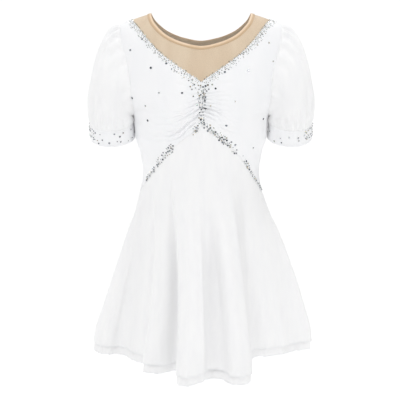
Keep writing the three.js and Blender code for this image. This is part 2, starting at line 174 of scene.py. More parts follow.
def clothTint(tree, look):
    # slow unevenness of the cloth's colour, in upright patches
    place = addNode(tree, "ShaderNodeTexCoord")
    drawn = addNode(tree, "ShaderNodeMapping", {"Vector": place.outputs["Object"], "Scale": (1, 1, 0.22)})
    noise = addNode(tree, "ShaderNodeTexNoise", {
        "Vector": drawn.outputs["Vector"], "Scale": 1000 / look["patch"], "Detail": 3.0, "Roughness": 0.55})
    ramp = addNode(tree, "ShaderNodeValToRGB", {"Fac": noise.outputs["Fac"]})
    for stop, position, colour in zip(ramp.color_ramp.elements, (0.3, 0.7), (look["deep"], look["light"])):
        stop.position, stop.color = position, toLinear(colour)
    return ramp.outputs["Color"], noise.outputs["Fac"]


def makeCloth(name, kind, pattern):
    # pattern gives how high the threads stand and the shader's inputs that only this cloth has
    look = cloths[kind]
    material, tree, shader = newMaterial(name)
    lie = addNode(tree, "ShaderNodeUVMap", uv_map="clothLie").outputs["UV"]
    colour, patches = clothTint(tree, look)
    height, own = pattern(tree, look, lie, colour, patches)
    bump = addNode(tree, "ShaderNodeBump", {
        "Height": height, "Strength": look["bump"][0], "Distance": look["bump"][1]})
    rough = addNode(tree, "ShaderNodeMapRange", {
        "Value": patches, "To Min": look["rough"][0], "To Max": look["rough"][1]})
    setInputs(tree, shader, {
        "Base Color": colour, "Roughness": rough.outputs[0], "Normal": bump.outputs[0],
        "Sheen Weight": look["sheen"][0], "Sheen Roughness": look["sheen"][1], **own})
    return material


def netPattern(tree, look, lie, colour, patches):
    # Warp-knitted nude stretch net: a matt skin tone that lets what is behind show through its holes.
    # Its real holes are about 0.8 mm apart, drawn 1.5 mm apart so that they show at all.
    one, two = (threadBands(tree, lie, look["hole"], turn) for turn in (30, -30))
    threads = addNode(tree, "ShaderNodeMath", {0: one, 1: two}, operation="MAXIMUM").outputs[0]
    solid = addNode(tree, "ShaderNodeMapRange", {
        "Value": threads, "From Min": 0.35, "From Max": 0.8, "To Min": look["open"], "To Max": 1.0})
    return threads, {"Alpha": solid.outputs[0]}


def bindingPattern(tree, look, lie, colour, patches):
    # Folded elastic binding: the same skin tone as the net but doubled, so denser and smoother,
    # with fine lengthwise ribs and a light folded edge; the part below it is painted darker, as painted shade
    # under the fold.
    start, end = look["paintedShadeFrom"]
    apart = addNode(tree, "ShaderNodeSeparateXYZ", {"Vector": lie})
    lower = addNode(tree, "ShaderNodeMapRange", {
        "Value": apart.outputs["Y"], "From Min": start, "From Max": end})
    # painted shade: the tape darkens to the lower colour below its folded edge
    paintedShadeMix = addNode(tree, "ShaderNodeMix", {
        0: lower.outputs[0], 6: colour, 7: toLinear(look["lower"])}, data_type="RGBA")
    return threadBands(tree, lie, look["rib"], 90), {"Base Color": paintedShadeMix.outputs[2]}


def knitPattern(tree, look, lie, colour, patches):
    # Polyamide-elastane jersey, circular knitted: bright white with a soft satin face and fine
    # wales that run down the cloth. Real wales are 0.5 mm apart, drawn 1.1 mm apart to show.
    wales = threadBands(tree, lie, look["wale"], 0, 0.4)
    courses = threadBands(tree, lie, look["course"], 90)
    return addNode(tree, "ShaderNodeMath", {0: wales, 1: courses}, operation="MULTIPLY").outputs[0], {}


def chiffonPattern(tree, look, lie, colour, patches):
    # Polyester chiffon, plain woven from hard-twisted yarn: white, matt, a little see-through, with
    # a dry crepe grain. Real threads are 0.25 mm apart, drawn 0.9 mm apart to show.
    warp, weft = (threadBands(tree, lie, look["thread"], turn, 0.8) for turn in (0, 90))
    weave = addNode(tree, "ShaderNodeMath", {0: warp, 1: weft}, operation="ADD")
    crepe = addNode(tree, "ShaderNodeTexNoise", {
        "Vector": lie, "Scale": 1000 / look["crepe"], "Detail": 2.0, "Roughness": 0.6})
    grain = addNode(tree, "ShaderNodeMath", {
        0: crepe.outputs["Fac"], 1: look["crepeShare"], 2: weave.outputs[0]}, operation="MULTIPLY_ADD")
    sheer = addNode(tree, "ShaderNodeMapRange", {
        "Value": patches, "From Min": 0.3, "From Max": 0.7,
        "To Min": look["sheerest"], "To Max": look["densest"]})
    return grain.outputs[0], {"Alpha": sheer.outputs[0]}


def makeCrystal():
    # Foil-backed machine-cut glass, with a weak rainbow from the coating. The facets' colours are painted
    # reflections, dark beside bright, as if each facet mirrored another part of a varied room.
    material, tree, shader = newMaterial("foilBackedCutGlass")
    facet = addNode(tree, "ShaderNodeAttribute", attribute_name="paintedReflectionTone", attribute_type="GEOMETRY")
    ramp = addNode(tree, "ShaderNodeValToRGB", {"Fac": facet.outputs["Fac"]})
    # tones from near black to white are painted reflections of a varied room; the golden and greenish ones
    # are the coating's tint
    tones = [(0.0, "#1C1F23"), (0.14, "#42484F"), (0.28, "#7C848D"), (0.42, "#ABB2BA"), (0.54, "#C9B48C"),
             (0.63, "#B9CDBE"), (0.73, "#D2D8E0"), (0.86, "#F8FAFC")]
    stops = ramp.color_ramp
    stops.interpolation = "CONSTANT"
    while len(stops.elements) < len(tones):
        stops.elements.new(0.5)
    for stop, (place, tone) in zip(stops.elements, tones):
        stop.position, stop.color = place, toLinear(tone)
    rough = addNode(tree, "ShaderNodeMapRange", {
        "Value": facet.outputs["Fac"], "To Min": 0.05, "To Max": 0.14})
    setInputs(tree, shader, {
        "Base Color": ramp.outputs["Color"], "Roughness": rough.outputs[0], "Metallic": 0.85,
        "Coat Weight": 0.6, "Coat Roughness": 0.03})
    return material


def makeThread(name, light, deep):
    # Spun polyester sewing thread: round, slightly glossy, its two plies twisted; the darker colour is
    # painted shade in the grooves between the plies.
    material, tree, shader = newMaterial(name)
    place = addNode(tree, "ShaderNodeTexCoord")
    wave = addNode(tree, "ShaderNodeTexWave", {
        "Vector": place.outputs["Object"], "Scale": 420.0}, wave_type="BANDS", bands_direction="DIAGONAL")
    # painted shade: the darker colour falls in the low grooves of the bump
    ramp = addNode(tree, "ShaderNodeValToRGB", {"Fac": wave.outputs["Fac"]})
    for stop, colour in zip(ramp.color_ramp.elements, (deep, light)):
        stop.color = toLinear(colour)
    bump = addNode(tree, "ShaderNodeBump", {
        "Height": wave.outputs["Fac"], "Strength": 0.3, "Distance": 0.0001})
    setInputs(tree, shader, {
        "Base Color": ramp.outputs["Color"], "Normal": bump.outputs[0], "Roughness": 0.42})
    return material


def makeFloorPaint():
    # matt wall paint, rolled: white with hardly any gloss
    material, tree, shader = newMaterial("mattStudioPaint")
    place = addNode(tree, "ShaderNodeTexCoord")
    noise = addNode(tree, "ShaderNodeTexNoise", {"Vector": place.outputs["Object"], "Scale": 3.0})
    rough = addNode(tree, "ShaderNodeMapRange", {
        "Value": noise.outputs["Fac"], "To Min": 0.85, "To Max": 0.95})
    setInputs(tree, shader, {"Base Color": toLinear(studio["floorColour"]), "Roughness": rough.outputs[0]})
    return material


setUpStudio()
makeFloor(makeFloorPaint())
netMaterial = makeCloth("warpKnittedNudeNet", "net", netPattern)
bindingMaterial = makeCloth("foldedElasticBinding", "binding", bindingPattern)
knitMaterial = makeCloth("whiteStretchJersey", "knit", knitPattern)
chiffonMaterial = makeCloth("whitePolyesterChiffon", "chiffon", chiffonPattern)
crystalMaterial = makeCrystal()
whiteThread = makeThread("whiteSpunThread", "#FAFAFA", "#E6E8EB")
nudeThread = makeThread("nudeSpunThread", "#E0BC94", "#C79E76")
print("studio and materials made")

# Curves and tables


def readTable(rows, column, at, key=0):
    # smooth values of one column, with no overshoot between its rows
    table = np.array(rows, float)
    x, y = table[:, key], table[:, column]
    at = np.clip(np.asarray(at, float), x[0], x[-1])
    span = np.diff(x)
    rise = np.diff(y) / span
    slope = np.empty(len(y))
    slope[0], slope[-1] = rise[0], rise[-1]
    product = rise[:-1] * rise[1:]
    slope[1:-1] = np.where(product > 0, 2 * product / np.where(product > 0, rise[:-1] + rise[1:], 1), 0)
    i = np.clip(np.searchsorted(x, at, side="right") - 1, 0, len(span) - 1)
    t = (at - x[i]) / span[i]
    return ((2 * t**3 - 3 * t**2 + 1) * y[i] + (t**3 - 2 * t**2 + t) * slope[i] * span[i]
            + (3 * t**2 - 2 * t**3) * y[i + 1] + (t**3 - t**2) * slope[i + 1] * span[i])


def smoothLine(knots, closed=False, density=24, levelEnd=False):
    # a smooth line through the knots, with some spots for each stretch; levelEnd ends it level
    p = np.array(knots, float)
    last = p[-2] * (-1, 1) if levelEnd else 2 * p[-1] - p[-2]
    p = np.vstack([p[-1:], p, p[:2]]) if closed else np.vstack([2 * p[0] - p[1], p, last])
    t = np.linspace(0, 1, density, endpoint=False)[:, None]
    stretches = []
    for a, b, c, d in zip(p[:-3], p[1:-2], p[2:-1], p[3:]):
        before, here, after = (max(np.linalg.norm(v - u), 1e-6) ** 0.5 for u, v in ((a, b), (b, c), (c, d)))
        start = ((b - a) / before - (c - a) / (before + here) + (c - b) / here) * here
        end = ((c - b) / here - (d - b) / (here + after) + (d - c) / after) * here
        stretches.append((2 * t**3 - 3 * t**2 + 1) * b + (t**3 - 2 * t**2 + t) * start
                         + (3 * t**2 - 2 * t**3) * c + (t**3 - t**2) * end)
    return np.vstack([*stretches, p[-2]])


def alongLine(line, share):
    # spots at shares of a line's length
    reach = reachAlong(line)
    at = np.clip(share, 0, 1) * reach[-1]
    return np.stack([np.interp(at, reach, line[:, k]) for k in range(line.shape[1])], -1)


def mix(a, b, t):
    return a + (b - a) * t


def unit(way):
    return way / np.maximum(np.linalg.norm(way, axis=-1, keepdims=True), 1e-9)


def reachAlong(line):
    # how far along the line each of its spots lies
    return np.concatenate([[0], np.cumsum(np.linalg.norm(np.diff(line, axis=0), axis=1))])


def softStep(low, high, at):
    t = np.clip((at - low) / (high - low), 0, 1)
    return t * t * (3 - 2 * t)


# The body that the dress is fitted to

body = {
    "chestLevel": -150.0,
    "degree": 2.6,  # about how many mm one degree round the body is
    "shoulderTop": 14.0, "shoulderFall": 0.0013, "roundness": 1.9, "closing": 0.54,
    "bustOut": 13.0, "bustApart": 62.0, "bustLevel": -188.0, "bustWide": 38.0, "bustTall": 42.0,
    # level, half width, depth to the front and to the back
    "sections": [(-430, 149, 101, 98), (-400, 139, 93, 90), (-370, 130, 87, 80), (-340, 126.5, 83, 72),
                 (-300, 132, 86, 72), (-262, 142.5, 90, 75), (-225, 145, 93, 79), (-205, 152, 95, 83),
                 (-180, 168, 96.5, 88), (-150, 183, 97, 92), (-70, 188, 97, 92), (0, 190, 97, 92)],
}
seams = {
    # angle and level, from the shoulder to the middle, the same on both sides
    "neck": [(33.9, 0), (33.5, -25.5), (31.3, -51), (25, -75.5), (17.6, -89), (9, -97.2), (0, -101)],
    "frontYoke": [(51.2, 0), (49, -25), (41.3, -65), (33, -92.8), (25, -110), (14, -125.8), (0, -142.5)],
    "backYoke": [(51.2, 0), (49, -34), (43, -78), (34, -110), (20, -135.5), (0, -148)],
    "armhole": [(64.9, 0), (64.6, -46), (62.2, -83), (56.6, -118), (54, -147), (61, -182), (74, -211),
                (90, -222)],
    "apexAngle": 2.0,
    "waistRight": [(-2, -222.5), (20, -265), (38, -301), (56, -335), (70, -359), (90, -385), (112, -398),
                   (140, -405), (180, -408)],
    "waistLeft": [(2, -222.5), (28, -276.5), (50, -319), (70, -360), (90, -385), (112, -398), (140, -405),
                  (180, -408)],
}


def bodyPoints(angle, level):
    angle, level = np.broadcast_arrays(np.asarray(angle, float), np.asarray(level, float))
    turn = np.radians(angle)
    facing = np.cos(turn)
    x = readTable(body["sections"], 1, level) * np.sin(turn)
    depth = np.where(facing > 0, readTable(body["sections"], 2, level), readTable(body["sections"], 3, level))
    chest = body["chestLevel"]
    above = level > chest
    up = np.where(above, 1 - np.clip(level / chest, 0, 1) ** (1 / body["closing"]), 0)
    ridge = body["shoulderTop"] - body["shoulderFall"] * x * x
    z = np.where(above, mix(chest, ridge, up), level)
    closing = (1 - np.clip(up, 0, 1) ** body["roundness"]) ** body["closing"]
    y = -depth * facing * closing
    mounds = sum(np.exp(-(((x - side * body["bustApart"]) / body["bustWide"]) ** 2
                          + ((z - body["bustLevel"]) / body["bustTall"]) ** 2) / 2) for side in (-1, 1))
    y = y - np.where(facing > 0, body["bustOut"] * mounds * np.clip(facing * 3, 0, 1) * np.sqrt(closing), 0)
    return np.stack([x, y, z], -1)


def bodyNormals(angle, level):
    angle, level = np.broadcast_arrays(np.asarray(angle, float), np.asarray(level, float))
    step = 0.4
    around = bodyPoints(angle + step, level) - bodyPoints(angle - step, level)
    upwards = bodyPoints(angle, np.minimum(level + step, 0)) - bodyPoints(angle, level - step)
    out = unit(np.cross(around, upwards))
    x = bodyPoints(angle, 0 * level)[..., 0]
    ridge = unit(np.stack([2 * body["shoulderFall"] * x, 0 * x, 1 + 0 * x], -1))
    return unit(mix(out, ridge, softStep(-1.2, -0.3, level)[..., None]))


def onBody(spots, height=0.0):
    # where angles and levels lie, some mm off the body, and which way the body faces there
    normals = bodyNormals(spots[..., 0], spots[..., 1])
    return bodyPoints(spots[..., 0], spots[..., 1]) + normals * height, normals


def frontSpot(x, z):
    # the angle and level of a place on the front given by how far across and how high it is
    x, z = np.asarray(x, float), np.asarray(z, float)
    chest = body["chestLevel"]
    ridge = body["shoulderTop"] - body["shoulderFall"] * x * x
    up = np.clip((z - chest) / (ridge - chest), 0, 1)
    level = np.where(z > chest, chest * (1 - up) ** body["closing"], z)
    half = readTable(body["sections"], 1, level)
    return np.degrees(np.arcsin(np.clip(x / half, -1, 1))), level


def waistLevel(angle):
    turn = np.where(np.asarray(angle, float) > 180, np.asarray(angle, float) - 360, angle)
    right = readTable(seams["waistRight"], 1, -turn)
    left = readTable(seams["waistLeft"], 1, turn)
    return np.where(turn < seams["apexAngle"], right, left)


def seamSpots(rows, share):
    # angle and level at shares of a seam's length
    knots = [(angle * body["degree"], level) for angle, level in rows]
    rounded = rows in (seams["neck"], seams["backYoke"])
    return alongLine(smoothLine(knots, levelEnd=rounded), share) / (body["degree"], 1)


def turned(spots, side, back):
    # spots counted from the middle of the front or back, moved to their place round the body
    angle = 180 - side * spots[..., 0] if back else side * spots[..., 0]
    return np.stack([angle, spots[..., 1]], -1)


# Cloth as closed thin shells


def gridNormals(points, wrap=False):
    down = np.gradient(points, axis=0)
    across = np.roll(points, -1, 1) - np.roll(points, 1, 1) if wrap else np.gradient(points, axis=1)
    return unit(np.cross(down, across))


def clothLie(points, wrap=False):
    # how far each spot of the cloth lies across it and down it, in metres, for the weave
    around = np.concatenate([points, points[:, :1]], 1) if wrap else points
    steps = np.linalg.norm(np.diff(around, axis=1), axis=-1)
    across = np.concatenate([np.zeros((len(points), 1)), np.cumsum(steps, 1)], 1)
    across = across - across[:, across.shape[1] // 2][:, None]
    steps = np.linalg.norm(np.diff(around, axis=0), axis=-1)
    down = np.concatenate([np.zeros((1, around.shape[1])), np.cumsum(steps, 0)], 0)
    return np.stack([across, down], -1) * mm


def clothShell(points, normals, thickness, lift=0.0, wrap=False, edge=0.45, joined=None):
    # Rows run down the cloth and columns towards the wearer's left, so that faces turn outwards. joined
    # is a column and its first row where the cloth goes on in another shell, and so has no edge.
    rows, columns = points.shape[:2]
    thickness = np.broadcast_to(np.asarray(thickness, float), (rows, columns))[..., None]
    lift = np.broadcast_to(np.asarray(lift, float), (rows, columns))[..., None]
    outer = points + normals * lift
    inner = points + normals * (lift - thickness)
    lie = clothLie(points, wrap)
    stretches = columns if wrap else columns - 1
    r, c = [k.ravel() for k in np.meshgrid(np.arange(rows - 1), np.arange(stretches), indexing="ij")]
    corners = [(r, c), (r + 1, c), (r + 1, c + 1), (r, c + 1)]
    quads = np.stack([a * columns + b % columns for a, b in corners], -1)
    quadLie = np.stack([lie[a, b] for a, b in corners], 1)
    count = rows * columns
    if wrap:
        loops = [[(0, k) for k in range(columns + 1)], [(rows - 1, k) for k in range(columns, -1, -1)]]
    else:
        loop = [(0, k) for k in range(columns)] + [(k, columns - 1) for k in range(1, rows)]
        loop += [(rows - 1, k) for k in range(columns - 2, -1, -1)]
        loop += [(k, 0) for k in range(rows - 2, -1, -1)]
        loops = [loop]
    spots, faces = [outer.reshape(-1, 3), inner.reshape(-1, 3)], [quads, quads[:, ::-1] + count]
    lies = [quadLie, quadLie[:, ::-1]]
    start = 2 * count
    for loop in loops:
        a = np.array(loop)
        home = a[:, 0] * columns + a[:, 1] % columns
        near = np.clip(a[:, 0], 1, rows - 2)
        nearAcross = a[:, 1] % columns if wrap else np.clip(a[:, 1], 1, columns - 2)
        away = unit(points[a[:, 0], a[:, 1] % columns] - points[near, nearAcross])
        closed = np.zeros(len(loop), bool)
        if joined:
            closed = (a[:, 1] == joined[0]) & (a[:, 0] >= joined[1])
        half = (outer.reshape(-1, 3)[home] + inner.reshape(-1, 3)[home]) / 2
        bulge = half + away * np.where(closed, 0, edge)[:, None] * thickness.reshape(-1, 1)[home]
        unique = len(loop) - 1
        spots.append(bulge[:unique])
        here = np.arange(unique)
        here = here[~(closed[here] & closed[here + 1])]
        after = (here + 1) % unique
        o, oNext, m, mNext = home[here], home[here + 1], start + here, start + after
        faces += [np.stack([o, oNext, mNext, m], -1), np.stack([m, mNext, oNext + count, o + count], -1)]
        rim = lie[a[:, 0], a[:, 1]]
        lies += [np.stack([rim[here], rim[here + 1], rim[here + 1], rim[here]], 1)] * 2
        start += unique
    return np.vstack(spots), np.vstack(faces), np.vstack(lies)


def sewnShells(name, shells, material):
    # shells that share an edge become one piece
    spots, faces, lies = zip(*shells)
    starts = np.cumsum([0, *map(len, spots)])
    faces = [quads + start for quads, start in zip(faces, starts)]
    piece = fromArrays(name, np.vstack(spots), np.vstack(faces), material, np.vstack(lies))
    if len(shells) > 1:
        work = bmesh.new()
        work.from_mesh(piece.data)
        bmesh.ops.remove_doubles(work, verts=work.verts, dist=2e-6)
        bmesh.ops.delete(work, geom=[v for v in work.verts if not v.link_faces], context="VERTS")
        work.to_mesh(piece.data)
        work.free()
    return piece


def fromGrid(name, points, normals, thickness, material, lift=0.0, wrap=False):
    return sewnShells(name, [clothShell(points, normals, thickness, lift, wrap)], material)


def fromArrays(name, points, faces, material, lies=None):
    mesh = bpy.data.meshes.new(name)
    mesh.from_pydata((points * mm).tolist(), [], faces.tolist())
    mesh.polygons.foreach_set("use_smooth", np.ones(len(mesh.polygons), bool))
    if lies is not None:
        layer = mesh.uv_layers.new(name="clothLie")
        layer.uv.foreach_set("vector", lies.reshape(-1).astype(np.float32))
    mesh.materials.append(material)
    mesh.update()
    return linkObject(name, mesh)


def wear(piece, slot, nodes=(), flat=None, area=None, held="stretched", rests=(), extras=()):
    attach(piece, "root")
    if nodes:
        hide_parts(*nodes)


# Creases


def creaseHeight(x, z, creases):
    # soft troughs with a low ridge on both sides, along lines drawn over the front or back
    x, z = np.asarray(x, float), np.asarray(z, float)
    height = np.zeros(x.shape)
    for line, depth, narrow, wide in creases:
        path = smoothLine(line, density=5)
        reach = reachAlong(path)
        best, share = np.full(x.shape, 1e9), np.zeros(x.shape)
        for k, (a, b) in enumerate(zip(path[:-1], path[1:])):
            way = b - a
            t = np.clip(((x - a[0]) * way[0] + (z - a[1]) * way[1]) / max(way @ way, 1e-9), 0, 1)
            far = np.hypot(x - a[0] - t * way[0], z - a[1] - t * way[1])
            closer = far < best
            best = np.where(closer, far, best)
            share = np.where(closer, (reach[k] + t * (reach[k + 1] - reach[k])) / reach[-1], share)
        width = mix(narrow, wide, share) * 0.88
        fade = depth * (1 - share**2.2) * softStep(-0.02, 0.1, share + 0.05)
        height -= fade * np.exp(-((best / width) ** 2))
        height += 0.55 * fade * np.exp(-(((best - 2.1 * width) / (1.2 * width)) ** 2))
    return height


# Yoke and neck binding

# over and under are how far the net reaches beneath the binding and the bodice
yoke = {"columns": 56, "rows": 22, "thickness": 0.5, "sink": -0.5, "over": 4.5, "under": 4.0}
binding = {"width": 7.5, "columns": 120, "rows": 8, "thickness": 1.5, "crown": 0.7,
           "frontRise": 2.4}  # how far it stands above the neck seam at the middle of the front


def yokeEdges(lowerEdge, back, count):
    share = np.linspace(0, 1, count + 1)
    edges = []
    for rows in (seams["neck"], lowerEdge):
        half = seamSpots(rows, share)
        first = turned(half, 1 if back else -1, back)
        second = turned(half[::-1][1:], -1 if back else 1, back)
        edges.append(np.vstack([first, second]))
    top, bottom = edges
    return top, bottom, np.linalg.norm(bodyPoints(*top.T) - bodyPoints(*bottom.T), axis=1)


def makeYoke(name, lowerEdge, back, flat, area):
    top, bottom, width = yokeEdges(lowerEdge, back, yoke["columns"])
    start, end = (binding["width"] - yoke["over"]) / width, 1 + yoke["under"] / width
    t = np.linspace(0, 1, yoke["rows"])[:, None, None]
    spots = mix(top, bottom, mix(start[:, None], end[:, None], t))
    # the first and last columns stay on the shoulder ridge
    spots[..., 1] = np.minimum(spots[..., 1], 0)
    piece = fromGrid(f"{name}_net", *onBody(spots), yoke["thickness"], netMaterial, yoke["sink"])
    wear(piece, "sheer_net", [name], flat, area, "stretched", ["neck_binding"])


def bindingRing(down):
    # spots of the neck at distances (mm) down from its edge, once round from the right shoulder
    count = binding["columns"] // 2
    rings = []
    for rows, back in ((seams["frontYoke"], False), (seams["backYoke"], True)):
        top, bottom, width = yokeEdges(rows, back, count)
        rise = 0 if back else binding["frontRise"] * np.sin(np.linspace(0, math.pi, len(width))) ** 2
        share = (np.asarray(down, float)[:, None] - rise) / width
        rings.append(mix(top, bottom, share[..., None])[:, :-1])
    spots = np.concatenate(rings, 1)
    spots[..., 1] = np.minimum(spots[..., 1], 0)
    return spots


def makeBindingPiece():
    down = np.linspace(0, binding["width"], binding["rows"])
    points, normals = onBody(bindingRing(down))
    across = (down / binding["width"])[:, None] * 2 - 1
    lift = np.broadcast_to(binding["crown"] * np.sqrt(np.clip(1 - across**2 * 0.85, 0, 1)), points.shape[:2])
    thickness = binding["thickness"] * np.sqrt(np.clip(1 - across**2 * 0.55, 0, 1))
    piece = fromGrid("neck_binding_tape", points, normals, thickness, bindingMaterial, lift, wrap=True)
    wear(piece, "net_binding", ["neck_binding"], (0.010, 0.62), 0.0062, "stretched",
         ["front_yoke", "back_yoke"])


makeYoke("front_yoke", seams["frontYoke"], False, (0.30, 0.15), 0.0140)
makeYoke("back_yoke", seams["backYoke"], True, (0.30, 0.155), 0.0200)
makeBindingPiece()
print("yoke and binding made")

# Bodice

bodice = {
    "columns": 168, "rows": 226, "backColumns": 84, "backRows": 121, "thickness": 0.85, "proud": 0.5,
    "yokePart": 8 / 15, "armPart": 10 / 15,  # shares of the rows that lie along yoke and armhole
    "gatherDepth": 1.45,  # multiplies the depths of both lists of gathers
    # line over the front (mm across and up), depth, width at its start and at its end
    "rightGathers": [
        ([(-2, -189), (-14, -197), (-23, -202), (-35, -209), (-48, -216), (-66, -221)], 2.6, 1.9, 4.2),
        ([(-4, -202), (-17, -214), (-27, -221), (-36, -230), (-44, -237), (-52, -243), (-63, -249),
          (-78, -252), (-104, -255), (-124, -258)], 3.4, 2.2, 4.8),
        ([(-42, -232), (-52, -236), (-67, -241), (-80, -246), (-96, -251)], 1.7, 2.0, 3.6),
        ([(-12, -218), (-27, -231), (-40, -246), (-54, -255), (-69, -261), (-98, -266)], 2.2, 2.0, 4.4),
        ([(-4, -168), (-16, -174), (-25, -178), (-38, -184)], 1.5, 1.8, 3.4),
        ([(-3, -177), (-19, -184), (-27, -188), (-37, -192), (-58, -197)], 1.7, 1.8, 3.6),
        ([(-3, -197), (-10, -205), (-21, -211), (-31, -216), (-48, -224), (-78, -231)], 1.8, 1.7, 4.0),
        ([(-16, -191), (-31, -199), (-52, -207), (-69, -213), (-96, -217)], 1.4, 1.8, 4.0),
        ([(-36, -195), (-52, -198), (-73, -199), (-100, -201)], 0.8, 2.2, 4.0),
        ([(-4, -159), (-18, -161), (-38, -165)], 0.9, 1.8, 3.4),
        ([(-5, -151), (-24, -146), (-53, -139)], 0.6, 2.2, 4.0),
        ([(-62, -223), (-84, -227), (-118, -228)], 0.8, 2.4, 4.0),
    ],
    "leftGathers": [
        ([(3, -181), (12, -183), (23, -186), (31, -189), (41, -193), (60, -198)], 2.0, 1.7, 3.6),
        ([(3, -188), (12, -190), (25, -193), (33, -198), (42, -204), (50, -209), (62, -218), (76, -227)],
         3.0, 1.9, 4.2),
        ([(4, -195), (12, -197), (23, -201), (30, -205), (37, -211), (54, -221)], 2.1, 1.7, 3.6),
        ([(4, -203), (14, -207), (23, -212), (35, -218)], 1.9, 1.6, 3.2),
        ([(3, -158), (12, -158), (25, -157), (33, -156), (52, -157)], 1.6, 1.9, 3.6),
        ([(3, -164), (14, -164), (27, -164), (43, -164), (68, -166)], 1.0, 1.6, 3.4),
        ([(3, -169), (14, -170), (31, -171), (43, -173), (68, -175)], 1.1, 1.6, 3.4),
        ([(3, -175), (16, -178), (31, -180), (43, -182), (62, -186)], 1.4, 1.6, 3.4),
        ([(34, -196), (52, -204), (64, -211), (82, -216)], 1.2, 2.0, 4.0),
        ([(40, -231), (52, -236), (63, -241), (84, -248)], 1.1, 2.0, 4.0),
        ([(38, -222), (56, -228), (78, -235)], 0.8, 2.2, 4.0),
        ([(6, -151), (33, -139), (51, -137), (72, -136)], 0.6, 2.2, 4.0),
    ],
    # soft pulls where the jersey is stretched over the sides and the small of the back
    "sidePulls": [
        ([(-140, -205), (-118, -203), (-96, -212)], 0.9, 5.0, 8.0),
        ([(140, -207), (120, -206), (99, -214)], 0.9, 5.0, 8.0),
        ([(-133, -232), (-118, -246), (-104, -264)], 0.7, 5.0, 8.0),
        ([(134, -236), (120, -252), (108, -270)], 0.6, 5.0, 8.0),
        ([(-127, -330), (-119, -322), (-108, -318)], 0.6, 5.0, 8.0),
        ([(127, -334), (118, -325), (107, -322)], 0.6, 5.0, 8.0),
        ([(-80, -166), (-77, -180), (-79, -198)], 1.1, 7.0, 9.0),
    ],
    "backPulls": [
        ([(-120, -318), (-80, -326), (-34, -330)], 1.1, 5.0, 9.0),
        ([(118, -326), (82, -334), (40, -338)], 1.1, 5.0, 9.0),
        ([(-114, -352), (-66, -356), (-20, -352)], 0.9, 5.5, 9.0),
        ([(116, -348), (74, -358), (26, -362)], 0.9, 5.5, 9.0),
        ([(-122, -300), (-92, -302), (-60, -300)], 0.6, 5.0, 8.0),
        ([(128, -214), (104, -216), (74, -226)], 1.0, 5.0, 9.0),
        ([(-128, -212), (-100, -218), (-70, -230)], 1.0, 5.0, 9.0),
        ([(130, -180), (108, -172), (84, -170)], 0.7, 5.0, 8.0),
        ([(-130, -184), (-106, -176), (-82, -173)], 0.7, 5.0, 8.0),
        ([(-60, -392), (-20, -384), (30, -386)], 0.7, 5.0, 8.0),
    ],
}


def bodiceSpots(yokeEdge, middleAngle, side, back, columns, rows):
    # ruled from the inner edge, down the yoke and the middle, to the outer one, down armhole and side
    t = np.linspace(0, 1, rows)

    def edge(seam, part, foot):
        # down the seam for a part of the rows, then straight to the foot
        upper = seamSpots(seam, np.minimum(t / part, 1))
        return np.where((t <= part)[:, None], upper, mix(upper[-1], foot, (t[:, None] - part) / (1 - part)))

    middle = np.array([middleAngle, float(waistLevel(180.0 if back else middleAngle))])
    inner = turnedHalf(edge(yokeEdge, bodice["yokePart"], middle), side, back)
    foot = np.array([90, float(waistLevel(90.0))])
    outer = turned(edge(seams["armhole"], bodice["armPart"], foot), side, back)
    spots = mix(inner[:, None], outer[:, None], np.linspace(0, 1, columns)[:, None])
    # the lower rows bend from a straight line towards the waist seam's own
    bottom = spots[-1]
    spots[..., 1] += (waistLevel(bottom[:, 0]) - bottom[:, 1]) * (t[:, None] ** 3)
    return spots[:, ::-1] if (side > 0) == back else spots


def turnedHalf(inner, side, back):
    # the middle of the front leans a little towards the wearer's left on both halves
    if back:
        return turned(inner, side, True)
    angle, level = inner.T
    tip = seams["frontYoke"][-1][1]
    lean = seams["apexAngle"] * np.clip((tip - level) / 80, 0, 1)
    return np.stack([np.where(level > tip + 0.1, side * angle, lean), level], -1)


def gatherRipple(x, z):
    # the tiny pleats that are caught in the middle seam itself
    place = z * 1.28 + 1.6 * np.sin(z * 0.21)
    near = np.exp(-np.abs(x - 3) / 9) * softStep(-226, -216, z) * (1 - softStep(-156, -146, z))
    return 0.55 * np.sin(place) * near


def bodiceHeight(points, back):
    x, z = points[..., 0], points[..., 2]
    if back:
        return creaseHeight(x, z, bodice["backPulls"])
    gathers = creaseHeight(x, z, bodice["rightGathers"] + bodice["leftGathers"])
    return bodice["gatherDepth"] * gathers + creaseHeight(x, z, bodice["sidePulls"]) + gatherRipple(x, z)


def bodiceShell(spots, back, joined=None):
    points, normals = onBody(spots)
    points = points + normals * bodiceHeight(points, back)[..., None]
    # a cut edge is drawn in a little where it is sewn to the next piece
    rows, columns = points.shape[:2]
    r, c = np.meshgrid(np.arange(rows), np.arange(columns), indexing="ij")
    toSides = [r, rows - 1 - r, c, columns - 1 - c]
    if joined:
        toSides.pop(2 if joined[0] == 0 else 3)
    lift = bodice["proud"] - 0.35 * np.exp(-np.minimum.reduce(toSides) / 1.2)
    return clothShell(points, normals, bodice["thickness"], lift, joined=joined)


def makeBodice():
    columns, rows = bodice["columns"], bodice["rows"]
    for side, name in ((-1, "bodice_front_right"), (1, "bodice_front_left")):
        spots = bodiceSpots(seams["frontYoke"], seams["apexAngle"], side, False, columns, rows)
        piece = sewnShells(f"{name}_jersey", [bodiceShell(spots, False)], knitMaterial)
        wear(piece, "stretch_knit", [name], (0.21, 0.40), 0.050, "gathered", ["front_yoke"])
    columns, rows = bodice["backColumns"], bodice["backRows"]
    underYoke, halves = (rows - 1) * 8 // 15, []
    for side, joint in ((1, columns - 1), (-1, 0)):
        spots = bodiceSpots(seams["backYoke"], 0.0, side, True, columns, rows)
        halves.append(bodiceShell(spots, True, (joint, underYoke)))
    piece = sewnShells("bodice_back_jersey", halves, knitMaterial)
    wear(piece, "stretch_knit", ["bodice_back"], (0.42, 0.42), 0.098, "stretched", ["back_yoke"])


makeBodice()
print("bodice made")

# Sleeves and cuffs

